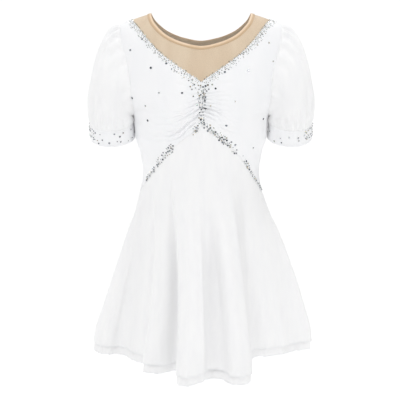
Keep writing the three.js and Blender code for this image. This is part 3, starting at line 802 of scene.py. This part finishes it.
sleeve = {
    "columns": 300, "rows": 84, "thickness": 0.55, "seeds": {-1: 11, 1: 23},
    # from the top (0) past the front or back (0.5) to the underarm (1): lean, reach, rise and spread
    "run": [(0, 25, 45, 90, 5), (0.3, 40, 50, 84, 10), (0.55, 55, 44, 62, 12), (0.8, 65, 24, 28, 8),
            (1, 70, 12, 10, 3)],
    # place round the sleeve (0 top, 0.25 front, 0.5 underarm, 0.75 back), start and end of the fold
    # on its way down, depth and width in mm
    "folds": [(0.955, 0.02, 0.42, 2.6, 7), (0.012, 0.02, 0.55, 3.0, 8), (0.062, 0.02, 0.36, 2.4, 6),
              (0.105, 0.02, 0.62, 2.6, 8), (0.158, 0.02, 0.40, 2.2, 7), (0.215, 0.02, 0.50, 1.8, 7),
              (0.29, 0.02, 0.34, 1.4, 7), (0.905, 0.02, 0.56, 2.6, 8), (0.85, 0.02, 0.38, 2.2, 7),
              (0.79, 0.02, 0.46, 1.9, 8), (0.72, 0.02, 0.33, 1.4, 7),
              (0.03, 0.97, 0.60, 2.6, 8), (0.085, 0.97, 0.72, 2.2, 7), (0.135, 0.97, 0.52, 2.8, 9),
              (0.19, 0.97, 0.66, 2.2, 7), (0.245, 0.97, 0.58, 2.4, 8), (0.305, 0.97, 0.74, 1.8, 6),
              (0.365, 0.97, 0.68, 1.6, 6), (0.66, 0.97, 0.66, 1.8, 7), (0.725, 0.97, 0.56, 2.4, 8),
              (0.785, 0.97, 0.70, 2.2, 7), (0.845, 0.97, 0.55, 2.6, 9), (0.9, 0.97, 0.68, 2.2, 7),
              (0.96, 0.97, 0.60, 2.4, 8)],
    "pleats": 34, "pleatDepth": 0.85, "foldDepth": 1.1, "toBody": 7.0, "sink": 0.6,
}
cuff = {
    "centre": (195.0, -3.0, -234.0), "half": 46.5, "deep": 48.0, "height": 36.0,
    "tilt": 15.0,  # degrees that its front hangs lower than its back
    "toBody": 2.8, "columns": 180, "rows": 20, "thickness": 1.6,
}


def cuffPoints(side, around, down):
    turn, tilt = 2 * math.pi * np.asarray(around, float), math.radians(cuff["tilt"])
    forward = cuff["deep"] * np.sin(turn)
    x, y, z = cuff["centre"]
    leaning = (cuff["toBody"] + 0.05 * np.asarray(down, float)) * np.clip(-np.cos(turn), 0, 1) ** 3
    return np.stack(np.broadcast_arrays(
        side * (x + cuff["half"] * np.cos(turn) - leaning),
        y - forward * math.cos(tilt) + down * math.sin(tilt),
        z - forward * math.sin(tilt) - down * math.cos(tilt)), -1)


def armholeSpots(around, side):
    # once round from the shoulder: down the front to the underarm and up the back
    around = np.asarray(around, float) % 1
    half = seamSpots(seams["armhole"], np.where(around < 0.5, 2 * around, 2 - 2 * around))
    front, rear = turned(half, side, False), turned(half, side, True)
    return np.where((around < 0.5)[..., None], front, rear)


def sleevePoints(side, around, t):
    start, normal = onBody(armholeSpots(around, side), -sleeve["sink"])
    before, after = (bodyPoints(*armholeSpots(around + step, side).T) for step in (-0.012, 0.012))
    away = unit(-side * np.cross(unit(after - before), normal))
    underarm = 1 - np.abs(2 * around - 1)
    lean, reach, rise, spread = (readTable(sleeve["run"], k, underarm)[:, None] for k in (1, 2, 3, 4))
    lean, spread = np.radians(lean), np.radians(spread)
    # the foot of the sleeve is caught just inside the cuff's upper edge
    end = cuffPoints(side, around, -0.4)
    outward = unit(end - np.array(cuff["centre"]) * (side, 1, 1))
    end = end - outward * 0.5
    tilt = math.radians(cuff["tilt"])
    up = np.array([0, -math.sin(tilt), math.cos(tilt)]) * np.cos(spread) + outward * np.sin(spread)
    first = start + (away * np.cos(lean) + normal * np.sin(lean)) * reach
    second = end + up * rise
    t = t[:, None, None]
    points = (1 - t)**3 * start + 3 * (1 - t)**2 * t * first + 3 * (1 - t) * t**2 * second + t**3 * end
    # the inner side hangs against the bodice
    inner = sleeve["toBody"] * np.clip(-np.cos(2 * math.pi * around), 0, 1)[None, :] ** 4
    points[..., 0] -= side * inner * np.sin(math.pi * np.clip(t[..., 0], 0, 1))
    return points


def ringDistance(a, b):
    return np.abs((a - b + 0.5) % 1 - 0.5)


def sleeveHeight(around, t, girth, seed):
    around, t = np.meshgrid(around, t)
    height = np.zeros(around.shape)
    for place, start, end, depth, width in sleeve["folds"]:
        share = (t - start) / (end - start)
        run = softStep(-0.05, 0.12, share) * (1 - softStep(0.45, 1.0, share))
        wide = width / girth * mix(0.6, 1.5, np.clip(share, 0, 1))
        far = ringDistance(around, place) / wide
        trough = 0.55 * np.exp(-((far - 2.0) / 1.1) ** 2) - np.exp(-far**2)
        height += sleeve["foldDepth"] * depth * run * trough
    rng = np.random.default_rng(seed)
    cap = 1 - softStep(0.3, 0.46, ringDistance(around, 0.0))
    for top in (True, False):
        places = (np.arange(sleeve["pleats"]) + rng.uniform(-0.3, 0.3, sleeve["pleats"])) / sleeve["pleats"]
        reach = rng.uniform(0.05, 0.17, sleeve["pleats"])
        depth = rng.uniform(0.4, 1.0, sleeve["pleats"]) * sleeve["pleatDepth"]
        for place, length, deep in zip(places, reach, depth):
            share = t / length if top else (1 - t) / length
            run = np.exp(-share**2) * (cap if top else 1)
            height -= deep * run * np.exp(-(ringDistance(around, place) * girth / 2.4) ** 2)
    return height


def facingOut(points, around):
    # the columns in the order that turns the faces away from the arm
    normals = gridNormals(points, wrap=True)
    if ((points - points.mean((0, 1))) * normals).sum() < 0:
        return points[:, ::-1], -normals[:, ::-1], around[::-1]
    return points, normals, around


def makeSleeve(side, hand):
    around = np.linspace(0, 1, sleeve["columns"], endpoint=False)
    t = np.linspace(-0.012, 1, sleeve["rows"])
    points, normals, around = facingOut(sleevePoints(side, around, t), around)
    middle = points[sleeve["rows"] // 2]
    girth = np.linalg.norm(np.roll(middle, -1, 0) - middle, axis=1).sum()
    points = points + normals * sleeveHeight(around, t, girth, sleeve["seeds"][side])[..., None]
    name = f"sleeve_{hand}"
    piece = fromGrid(f"{name}_chiffon", points, gridNormals(points, wrap=True), sleeve["thickness"],
                     chiffonMaterial, wrap=True)
    wear(piece, "chiffon", [name], (0.40, 0.20), 0.058, "gathered", [f"cuff_{hand}", "bodice_back"])


def makeCuff(side, hand):
    around = np.linspace(0, 1, cuff["columns"], endpoint=False)
    down = np.linspace(0, cuff["height"], cuff["rows"])
    points, normals, around = facingOut(cuffPoints(side, around[None, :], down[:, None]), around)
    share, turn = (down / cuff["height"])[:, None], around * 2 * math.pi
    # the band is caught in by the gathers above it and rolls over a little at its folded lower edge
    ripple = 0.35 * np.sin(turn * 31 + 1.3 * np.sin(around * 25)) * np.exp(-share / 0.16)
    ripple = ripple + 0.5 * np.sin(turn * 3 + side) * np.sin(share * math.pi)
    lift = 0.5 * np.sin(share * math.pi) ** 0.6 - 0.2
    points = points + normals * ripple[..., None]
    name = f"cuff_{hand}"
    piece = fromGrid(f"{name}_jersey", points, normals, cuff["thickness"], knitMaterial, lift, wrap=True)
    wear(piece, "stretch_knit", [name], (0.31, 0.038), 0.0115, "folded", [f"sleeve_{hand}"])


for side, hand in ((-1, "right"), (1, "left")):
    makeSleeve(side, hand)
    makeCuff(side, hand)
print("sleeves and cuffs made")

# Skirt

skirt = {
    "hang": -345.0, "leaving": 36.0, "hem": -757.0, "outerShorter": 19.0,
    "underGap": 0.35, "underHemGap": 1.8, "layer": 1.0, "tuck": 3.0, "thickness": 0.6,
    "stepsPerFold": 16, "rows": 96,
    # a row for each turn of the cloth: where it leaves the waist, where it hangs at the hem, and how
    # far its line bows towards the wearer's left on the way
    "folds": [(-90, -246, 8, 10), (-81, -229, -22, 9), (-73, -206, -30, 8), (-67, -182, -28, 8),
              (-62, -154, -60, 12), (-58, -130, -86, 16), (-54, -125, -128, 18), (-43, -92, -141, 12),
              (-33, -56, -134, 10), (-29, -50, -196, 12), (-18, -30, -215, 6), (-7, -2, -190, 0),
              (2, 22, -182, 0), (16, 66, -205, 0), (28, 101, -192, 0), (36, 104, -110, 0),
              (45, 118, -48, -4), (56, 152, -40, -6), (67, 188, -26, -4), (78, 218, -4, 0),
              (90, 252, 8, 0), (101, 240, 48, 0), (111, 214, 60, 0), (121, 203, 106, 0),
              (131, 168, 112, 0), (142, 146, 160, 0), (154, 98, 158, 0), (163, 72, 190, 0),
              (180, 6, 172, 0), (190, -34, 202, 0), (202, -70, 172, 0), (213, -112, 178, 0),
              (226, -146, 128, 0), (238, -190, 124, 0), (249, -206, 78, 4), (260, -234, 56, 8),
              (270, -246, 8, 10)],
    # share of the way down from the waist, and how far out the cloth has come there
    "flare": [(0, 0), (0.14, 0.158), (0.224, 0.289), (0.415, 0.526), (0.574, 0.7), (0.714, 0.833),
              (0.882, 0.974), (1, 1)],
    # smaller creases: place in turns of the cloth, the levels where it starts and ends, depth in mm,
    # width in turns, and how far it drifts sideways on its way down
    "creases": [(1.5, -500, -1100, 1.3, 0.22, 0.1), (2.6, -430, -1100, 1.2, 0.20, -0.1),
                (3.5, -540, -1100, 0.8, 0.24, 0.1), (4.5, -400, -1100, 1.2, 0.22, 0.0),
                (5.35, -370, -860, 10.0, 0.36, 0.0), (6.9, -560, -1100, 0.9, 0.25, 0.1),
                (8.15, -350, -860, 12.5, 0.46, 0.0),(10.2, -520, -1200, 0.9, 0.30, 0.0),
                (11.7, -226, -262, 1.2, 0.12, 0.0), (12.5, -226, -262, 1.2, 0.12, 0.1),
                (12.2, -345, -830, 24.0, 0.50, 0.0), (13.5, -430, -1100, 1.4, 0.22, 0.1),
                (14.4, -480, -1100, 1.2, 0.20, 0.0), (16.5, -480, -1100, 1.2, 0.20, -0.1),
                (17.5, -440, -1100, 1.4, 0.22, 0.1), (18.45, -560, -1100, 1.5, 0.24, -0.1),
                (19.4, -500, -1100, 1.2, 0.20, 0.1), (21.5, -470, -1100, 2.6, 0.22, 0.1),
                (22.45, -540, -1100, 2.2, 0.20, 0.0), (23.5, -450, -1100, 2.8, 0.22, -0.1),
                (24.6, -520, -1100, 2.4, 0.22, 0.1), (25.45, -480, -1100, 2.8, 0.20, 0.0),
                (26.5, -560, -1100, 2.2, 0.24, -0.1), (27.45, -430, -1100, 2.4, 0.18, 0.1),
                (28.4, -520, -1100, 2.8, 0.20, 0.0), (29.5, -470, -1100, 2.4, 0.20, 0.1),
                (30.6, -550, -1100, 2.6, 0.22, -0.1), (31.5, -440, -1100, 2.8, 0.22, 0.1),
                (32.45, -520, -1100, 2.2, 0.20, 0.0), (33.55, -480, -1100, 2.6, 0.22, -0.1),
                (34.4, -540, -1100, 2.4, 0.20, 0.1), (35.5, -460, -1100, 2.2, 0.22, 0.0)],
    "hemRipple": 1.2, "hemReach": 20.0, "hemUneven": 0.8, "rollRadius": 0.6,
    # flat size and area (m), how each half is held and what it rests on
    "cut": {"front": ((0.95, 0.54), 0.30, "hung", ["bodice_front_right", "bodice_front_left"]),
            "back": ((0.78, 0.40), 0.235, "hung", ["bodice_back"])},
}
foldCount = len(skirt["folds"]) - 1
foldRows = [(k, angle, bow) for k, (angle, _, _, bow) in enumerate(skirt["folds"])]
hemLine = smoothLine([(x, y) for _, x, y, _ in skirt["folds"][:-1]], closed=True, density=32)


def skirtPoints(order, level):
    # order counts turns of the cloth from the wearer's right side round the front
    order, level = np.broadcast_arrays(order, level)
    angle, bow = readTable(foldRows, 1, order), readTable(foldRows, 2, order)
    top = waistLevel(angle)
    leaves = np.minimum(skirt["hang"], top)
    # the cloth leaves the body in a curve, except where it hangs straight from the seam
    above, fallen = top - leaves, leaves - level
    curve = np.minimum(skirt["leaving"], 0.8 * above)
    hanging = (fallen + np.hypot(fallen, curve)) / 2
    atSeam = (np.hypot(above, curve) - above) / 2
    hanging = hanging - atSeam * np.clip(1 - (fallen + above) / np.maximum(above, 1e-6), 0, 1)
    share = np.clip(hanging / (leaves - skirt["hem"]), 0, 1)
    out = readTable(skirt["flare"], 1, share)
    start = bodyPoints(angle, np.clip(level + hanging, leaves, top + skirt["tuck"]))
    spot = (order % foldCount) * 32
    end = np.stack([np.interp(spot, np.arange(len(hemLine)), hemLine[:, k]) for k in (0, 1)], -1)
    x = mix(start[..., 0], end[..., 0], out) + bow * np.sin(math.pi * share)
    y = mix(start[..., 1], end[..., 1], out)
    return np.stack([x, y, level], -1)


def skirtHeight(order, level):
    order, level = np.broadcast_arrays(order, level)
    height = np.zeros(order.shape)
    for place, start, end, depth, width, drift in skirt["creases"]:
        share = np.clip((start - level) / (start - end), 0, 1)
        far = (order - place - drift * share) / (width * mix(0.7, 1.3, share))
        run = softStep(0, 0.45, share) * (1 - softStep(0.75, 1.0, share))
        height += depth * run * (0.5 * np.exp(-((np.abs(far) - 2.0) / 1.2) ** 2) - np.exp(-far**2))
    return height


def hemWave(order, seed):
    rng = np.random.default_rng(seed)
    turns = np.asarray(order, float) / foldCount * 2 * math.pi
    wave = sum(rng.uniform(0.5, 1) * np.sin(turns * n + rng.uniform(0, 6.28)) for n in (31, 44, 59, 73, 88))
    return wave / 2.2


def skirtRing(hemLevel, waveSeed):
    order = np.linspace(0, foldCount, foldCount * skirt["stepsPerFold"], endpoint=False)[None, :]
    waist = waistLevel(readTable(foldRows, 1, order))
    # rows lie closer together towards the hem
    share = np.linspace(0, 1, skirt["rows"])[:, None]
    share = share + 0.03 * np.sin(share * math.pi * 2)
    level = mix(waist + skirt["tuck"], hemLevel + skirt["hemUneven"] * hemWave(order, waveSeed + 1), share)
    points = skirtPoints(order, level)
    nearHem = np.clip(1 - (level - hemLevel) / skirt["hemReach"], 0, 1)
    height = skirtHeight(order, level) + skirt["hemRipple"] * hemWave(order, waveSeed) * nearHem**1.5
    points = points + gridNormals(points, wrap=True) * height[..., None]
    normals = gridNormals(points, wrap=True)
    for _ in range(3):  # evens the directions out, so that a layer set inside keeps clear of itself
        normals = unit(normals + 0.5 * (np.roll(normals, 1, 1) + np.roll(normals, -1, 1)))
    return points, normals, waist - level, waist


def makeSkirtLayer(layer, hemLevel, seed):
    points, normals, below, waist = skirtRing(hemLevel, seed)
    # the top is tucked under the bodice's edge, and swells out of the seam below it
    lift = -0.75 + 0.75 * softStep(1.0, 12.0, below)
    if layer == "under":
        drop = np.clip(below / (waist - skirt["hem"]), 0, 1)
        lift = lift - (skirt["layer"] + skirt["underGap"] + skirt["underHemGap"] * drop)
    # the hem is rolled to a thin cord and sewn over
    middle = lift[-1][:, None] - skirt["thickness"] / 2
    roll = makeHemRoll(f"hem_roll_{layer}", points[-1] + normals[-1] * middle)
    total = points.shape[1]
    side = [angle for angle, *_ in skirt["folds"]].index(90) * skirt["stepsPerFold"]
    for half, first, last, extras in (("front", 0, side, [roll]), ("back", side, total, [])):
        columns = np.arange(first, last + 1) % total
        name = f"skirt_{layer}_{half}"
        piece = fromGrid(f"{name}_chiffon", points[:, columns], normals[:, columns], skirt["thickness"],
                         chiffonMaterial, lift[:, columns])
        wear(piece, "chiffon", [name], *skirt["cut"][half], extras)


def makeHemRoll(name, line):
    # a closed thin tube along the hem, with the uneven thickness of a rolled edge
    ahead = unit(np.roll(line, -1, 0) - np.roll(line, 1, 0))
    up = unit(np.array([0, 0, 1.0]) - ahead * ahead[:, 2:])
    across = np.cross(ahead, up)
    k = np.arange(len(line))
    size = skirt["rollRadius"] * (1 + 0.16 * np.sin(k * 1.9) + 0.1 * np.sin(k * 0.7))[:, None]
    turns = np.linspace(0, 2 * math.pi, 7)[:-1]
    ring = np.stack([line + size * (up * math.sin(a) + across * math.cos(a)) for a in turns], 0)
    spots = ring.reshape(-1, 3)
    columns, quads = len(line), []
    for row in range(len(turns)):
        here, after = row * columns + k, ((row + 1) % len(turns)) * columns + k
        quads.append(np.stack([here, after, np.roll(after, -1), np.roll(here, -1)], -1))
    faces = np.vstack(quads)
    a, b, c = (spots[faces[:, n]] for n in (0, 1, 2))
    if (np.cross(b - a, c - a) * (ring - line).reshape(-1, 3)[faces[:, 0]]).sum() < 0:
        faces = faces[:, ::-1]
    piece = fromArrays(name, spots, faces, chiffonRoll)
    wear(piece, "chiffon")
    return piece


# the rolled hem has the same twist bands, darker in their grooves as painted shade
chiffonRoll = makeThread("rolledChiffonHem", "#FBFCFD", "#ECEEF1")
makeSkirtLayer("outer", skirt["hem"] + skirt["outerShorter"], 5)
makeSkirtLayer("under", skirt["hem"], 9)
print("skirt made")

# Stones, set by Geometry Nodes

stones = {
    "seed": 41,
    "proud": 0.55,  # how far the flat back lies off the cloth's own surface, in mm
    # places on the front (mm across and up) and width
    "single": [(-123, -51, 4.2), (-148, -74, 4.6), (-104, -108, 5.4), (-60, -109, 3.6), (-72, -98, 4.6),
               (-87, -158, 4.0), (-39, -157, 4.6), (-145, -174, 5.0), (-116, -188, 4.0), (-112, -220, 5.2),
               (142, -59, 4.0), (49, -115, 4.6), (98, -113, 4.4), (132, -220, 4.8), (53, -226, 5.4),
               (72, -270, 4.6), (111, -281, 4.0), (151, -97, 3.4), (70, -175, 3.2), (-14, -140, 4.0),
               (-22, -144, 3.8), (30, -148, 4.4), (23, -140, 3.8), (-19, -150, 3.4), (-16, -164, 3.6),
               (44, -252, 4.2), (20, -183, 3.4), (9, -166, 4.2), (-8, -182, 3.6), (8, -181, 3.8)],
    "backSingle": [(-118, -62, 4.2), (-92, -112, 4.6), (-58, -160, 4.4), (-110, -150, 4.8), (-20, -176, 4.0),
                   (28, -168, 4.6), (70, -150, 4.2), (104, -98, 4.6), (126, -146, 4.2), (88, -190, 4.8),
                   (-84, -205, 4.0), (-34, -222, 4.2), (40, -214, 4.0), (112, -216, 4.2)],
    "middle": {"tries": 260, "levels": (-224, -141), "spread": ([-224, -205, -165, -141], [8, 6, 9, 15])},
    # side, first and last angle, half width in mm, how full
    "bands": [(1, 2, 27, 9.0, 0.5), (1, 27, 35, 8.0, 0.12), (1, 35, 46, 6.0, 0.02),
              (1, 46, 62, 5.5, 0.45), (1, 62, 88, 4.0, 0.4), (-1, 2, 7, 8.0, 0.6),
              (-1, 24.5, 47, 9.0, 0.3), (-1, 50.5, 68, 5.5, 0.3)],
    # distance from the slanting edge in mm, how full
    "trim": [(-1.3, 0.9), (1.3, 1.0), (3.9, 1.0), (6.5, 0.85), (9.1, 0.45), (11.8, 0.12)],
    # place round the cuff, spread, stones tried, highest and lowest in mm from its top
    "cuffs": [(0.06, 0.10, 60, 1, 27), (0.0, 0.5, 34, 6, 32)],
}


def stoneShape():
    # flat-backed chaton of radius 1: eight-sided girdle, slanting crown facets and a table
    spots = []
    for radius, height, twist in ((0.94, 0.0, 0.0), (1.0, 0.12, 0.0), (0.56, 0.44, 0.5)):
        turns = [(k + twist) * math.pi / 4 for k in range(8)]
        spots += [(radius * math.cos(turn), radius * math.sin(turn), height) for turn in turns]
    faces = [tuple(range(7, -1, -1)), tuple(range(16, 24))]
    for k in range(8):
        n = (k + 1) % 8
        faces += [(k, n, 8 + n, 8 + k), (8 + k, 8 + n, 16 + k), (8 + n, 16 + n, 16 + k)]
    mesh = bpy.data.meshes.new("stoneShape")
    mesh.from_pydata(spots, [], faces)
    return linkObject("stoneShape", mesh)


def newTree(name, inputs):
    tree = bpy.data.node_groups.new(name, "GeometryNodeTree")
    for label, kind in (("Geometry", "Geometry"), *inputs, ("Material", "Material")):
        tree.interface.new_socket(label, in_out="INPUT", socket_type=f"NodeSocket{kind}")
    tree.interface.new_socket("Geometry", in_out="OUTPUT", socket_type="NodeSocketGeometry")
    return tree, addNode(tree, "NodeGroupInput")


def setCopies(tree, given, points, shape, rotation, scale):
    # the end of a tree: one copy of the shape on every point, made real and given its material
    placed = addNode(tree, "GeometryNodeInstanceOnPoints", {
        "Points": points, "Instance": shape, "Rotation": rotation, "Scale": scale})
    real = addNode(tree, "GeometryNodeRealizeInstances", {"Geometry": placed.outputs["Instances"]})
    coloured = addNode(tree, "GeometryNodeSetMaterial", {
        "Geometry": real.outputs["Geometry"], "Material": given.outputs["Material"]})
    addNode(tree, "NodeGroupOutput", {"Geometry": coloured.outputs["Geometry"]})
    return tree


def stoneTree():
    # every stone's back lies to the cloth, and it is turned at random
    tree, given = newTree("setStones", [("Stone", "Object"), ("Size", "Float"), ("Seed", "Int")])
    shape = addNode(tree, "GeometryNodeObjectInfo", {"Object": given.outputs["Stone"]})
    out = addNode(tree, "GeometryNodeInputNamedAttribute", {"Name": "outward"}, data_type="FLOAT_VECTOR")
    width = addNode(tree, "GeometryNodeInputNamedAttribute", {"Name": "radius"}, data_type="FLOAT")
    stand = addNode(tree, "FunctionNodeAlignRotationToVector", {"Vector": out.outputs["Attribute"]}, axis="Z")
    # input 3 is the largest turn, because several of the node's inputs are called Max
    spin = addNode(tree, "FunctionNodeRandomValue", {
        3: 6.283, "Seed": given.outputs["Seed"]}, data_type="FLOAT")
    turn = addNode(tree, "FunctionNodeAxisAngleToRotation", {"Axis": (0, 0, 1), "Angle": spin.outputs[1]})
    both = addNode(tree, "FunctionNodeRotateRotation", {
        "Rotation": stand.outputs[0], "Rotate By": turn.outputs[0]}, rotation_space="LOCAL")
    size = addNode(tree, "ShaderNodeMath", {0: width.outputs["Attribute"], 1: given.outputs["Size"]},
                   operation="MULTIPLY")
    return setCopies(tree, given, given.outputs["Geometry"], shape.outputs["Geometry"], both.outputs[0],
                     size.outputs[0])


def stitchTree():
    # short round stitches at even steps along a line
    tree, given = newTree("sewStitches", [("Spacing", "Float"), ("Length", "Float"), ("Thread", "Float")])
    line = addNode(tree, "GeometryNodeMeshToCurve", {"Mesh": given.outputs["Geometry"]})
    spaced = addNode(tree, "GeometryNodeResampleCurve", {
        "Curve": line.outputs["Curve"], "Length": given.outputs["Spacing"]}, mode="LENGTH")
    bead = addNode(tree, "GeometryNodeMeshUVSphere", {"Segments": 6, "Rings": 4, "Radius": 0.5})
    size = addNode(tree, "ShaderNodeCombineXYZ", {
        "X": given.outputs["Thread"], "Y": given.outputs["Thread"], "Z": given.outputs["Length"]})
    tangent = addNode(tree, "GeometryNodeInputTangent")
    lie = addNode(tree, "FunctionNodeAlignRotationToVector", {"Vector": tangent.outputs["Tangent"]}, axis="Z")
    return setCopies(tree, given, spaced.outputs["Curve"], bead.outputs["Mesh"], lie.outputs[0],
                     size.outputs[0])


def growMesh(name, carrier, tree, values):
    # runs a tree on its carrier and keeps the result as a plain mesh
    modifier = carrier.modifiers.new(name, "NODES")
    modifier.node_group = tree
    for item in tree.interface.items_tree:
        if item.item_type == "SOCKET" and item.in_out == "INPUT" and item.name in values:
            modifier[item.identifier] = values[item.name]
    bpy.context.view_layer.update()
    seen = carrier.evaluated_get(bpy.context.evaluated_depsgraph_get())
    mesh = bpy.data.meshes.new_from_object(seen)
    mesh.name = name
    mesh.materials.clear()
    mesh.materials.append(values["Material"])
    mesh.polygons.foreach_set("material_index", np.zeros(len(mesh.polygons), int))
    carrier.modifiers.remove(modifier)
    bpy.data.objects.remove(carrier)
    return linkObject(name, mesh)


def spotMesh(name, spots, edges=()):
    mesh = bpy.data.meshes.new(name)
    mesh.from_pydata((np.asarray(spots) * mm).tolist(), edges, [])
    return linkObject(name, mesh)


def keepApart(points, normals, widths, tones, gap):
    # the stones that stay when none may overlap one before it, with radii for widths
    kept = []
    for k, point in enumerate(points):
        far = np.linalg.norm(points[kept] - point, axis=1)
        if not len(kept) or (far >= (widths[kept] + widths[k]) / 2 + gap).all():
            kept.append(k)
    return points[kept], normals[kept], widths[kept] / 2, tones[kept]


def stoneSpots():
    # angle, level, width, tone (where its facets' painted reflections start) and whether it is on the back,
    # the most important first
    rng = np.random.default_rng(stones["seed"])
    wanted = []
    for key, back in (("single", False), ("backSingle", True)):
        for x, z, width in stones[key]:
            angle, level = frontSpot(x, z)
            wanted.append((180 - angle if back else angle, level, width, 0.02 if width > 4.1 else 0.25, back))
    # cluster down the gathered middle seam
    for _ in range(stones["middle"]["tries"]):
        z = rng.uniform(*stones["middle"]["levels"])
        spread = np.interp(z, *stones["middle"]["spread"])
        x = 2 + np.clip(rng.normal(0, 0.55), -1.1, 1.1) * spread
        wanted.append((*frontSpot(x, z), rng.choice([2.6, 3.4, 4.0, 4.6]),
                       rng.choice([0.0, 0.15, 0.45]), False))
    # bands down both legs of the waist seam, thick and thin by turns
    for side, start, end, half, keep in stones["bands"]:
        for _ in range(int((end - start) * 16 * keep)):
            angle = side * rng.uniform(start, end)
            level = float(waistLevel(angle)) + 1.5 + np.clip(rng.normal(0, 0.6), -1, 1) * half
            wanted.append((angle, level, rng.choice([2.6, 3.2, 3.8, 4.4]),
                           rng.choice([0.0, 0.2, 0.5]), False))
    # small pale trim along both slanting edges, front and back
    for rows, back, loose in ((seams["frontYoke"], False, 0.0), (seams["backYoke"], True, 0.25)):
        for side in (-1, 1):
            for offset, keep in stones["trim"]:
                share = np.arange(0.012, 1.0, 0.0148)
                share = share[rng.random(len(share)) < keep - loose]
                share = share + rng.uniform(-0.005, 0.005, len(share))
                edge = turned(seamSpots(rows, share), side, back)
                arm = turned(seamSpots(seams["armhole"], share * 0.8), side, back)
                reach = np.linalg.norm(bodyPoints(*arm.T) - bodyPoints(*edge.T), axis=1)
                way = (offset + rng.uniform(-0.6, 0.6, len(share))) / reach
                for angle, level in mix(edge, arm, way[:, None]):
                    wanted.append((angle, min(level, -0.8), rng.choice([2.0, 2.4, 2.9]),
                                   rng.choice([0.2, 0.48, 0.6]), back))
    angle, level, width, tone, back = (np.array(k, float) for k in zip(*wanted))
    points, normals = onBody(np.stack([angle, level], -1))
    height = np.where(back > 0, bodiceHeight(points, True), bodiceHeight(points, False))
    return keepApart(points + normals * (height + stones["proud"])[:, None], normals, width, tone, 0.15)


def cuffSpots():
    rng = np.random.default_rng(stones["seed"] + 1)
    places = []
    for side in (-1, 1):
        # thick on the outer side of the arm, sparse on the rest
        for middle, spread, count, low, high in stones["cuffs"]:
            for _ in range(count):
                places.append((side, middle + rng.uniform(-1, 1) * spread, rng.uniform(low, high),
                               rng.choice([2.6, 3.4, 4.2]), rng.choice([0.05, 0.3])))
    side, around, down, width, tone = (np.array(k, float) for k in zip(*places))
    points = cuffPoints(side, around, down)
    normals = unit(points - cuffPoints(side, around + 0.5, down))
    return keepApart(points + normals * (stones["proud"] + 0.1), normals, width, tone, 0.9)


def makeStones(name, found, seed):
    points, normals, radii, tones = found
    carrier = spotMesh(name, points)
    added = carrier.data.attributes.new
    added("outward", "FLOAT_VECTOR", "POINT").data.foreach_set("vector", normals.ravel())
    added("radius", "FLOAT", "POINT").data.foreach_set("value", radii)
    shape = stoneShape()
    piece = growMesh(name, carrier, stoneTree(), {
        "Stone": shape, "Size": mm, "Seed": seed, "Material": crystalMaterial})
    bpy.data.objects.remove(shape)
    # every facet gets its own tone of painted reflection, round that of its stone
    rng = np.random.default_rng(seed)
    perStone = len(piece.data.polygons) // len(points)
    tone = np.repeat(tones, perStone)[:len(piece.data.polygons)]
    tone = tone + rng.uniform(0, 0.5, len(tone))
    piece.data.attributes.new("paintedReflectionTone", "FLOAT", "FACE").data.foreach_set("value", tone.astype(np.float32))
    wear(piece, "stretch_knit")
    print(f"{name}: {len(points)} stones, {len(piece.data.polygons)} facets")
    return piece


bodiceStones = makeStones("bodice_stones", stoneSpots(), 7)
cuffStones = makeStones("cuff_stones", cuffSpots(), 8)

# Stitching

stitching = {"spacing": 3.0, "length": 2.3, "thread": 0.5, "proud": 0.28}


def makeStitches(name, lines, material, slot):
    spots, edges = [], []
    for line, closed in lines:
        first = len(spots)
        spots += line.tolist()
        edges += [(first + k, first + k + 1) for k in range(len(line) - 1)]
        if closed:
            edges.append((first + len(line) - 1, first))
    carrier = spotMesh(name, spots, edges)
    piece = growMesh(name, carrier, stitchTree(), {
        "Spacing": stitching["spacing"] * mm, "Length": stitching["length"] * mm,
        "Thread": stitching["thread"] * mm, "Material": material})
    piece.data.polygons.foreach_set("use_smooth", np.ones(len(piece.data.polygons), bool))
    wear(piece, slot)
    return piece


def seamLines(side):
    # both edges of the cuff, closed, and the bodice along the armhole, open
    lines = []
    for down in (4.0, cuff["height"] - 4.5):
        ring = cuffPoints(side, np.linspace(0, 1, 160, endpoint=False), down)
        middle = np.array([side * cuff["centre"][0], 0, 0]) + ring.mean(0) * (0, 1, 1)
        lines.append((ring + unit(ring - middle) * stitching["proud"], True))
    hole = armholeSpots(np.linspace(0.02, 0.98, 180), side)
    hole = hole + np.array([-side * 1.6, 0]) * np.where(np.cos(np.radians(hole[:, :1])) > 0, 1, -1)
    hole[:, 1] = np.minimum(hole[:, 1], -1)
    return [*lines, (onBody(hole, bodice["proud"] + 0.12)[0], False)]


neckLine = onBody(bindingRing([binding["width"] - 1.5])[0], binding["crown"] * 0.75 + 0.12)[0]
bindingStitches = makeStitches("binding_stitches", [(neckLine, True)], nudeThread, "net_binding")
bodiceStitches = makeStitches("seam_stitches", seamLines(-1) + seamLines(1), whiteThread, "stretch_knit")
print("stones and stitches set")
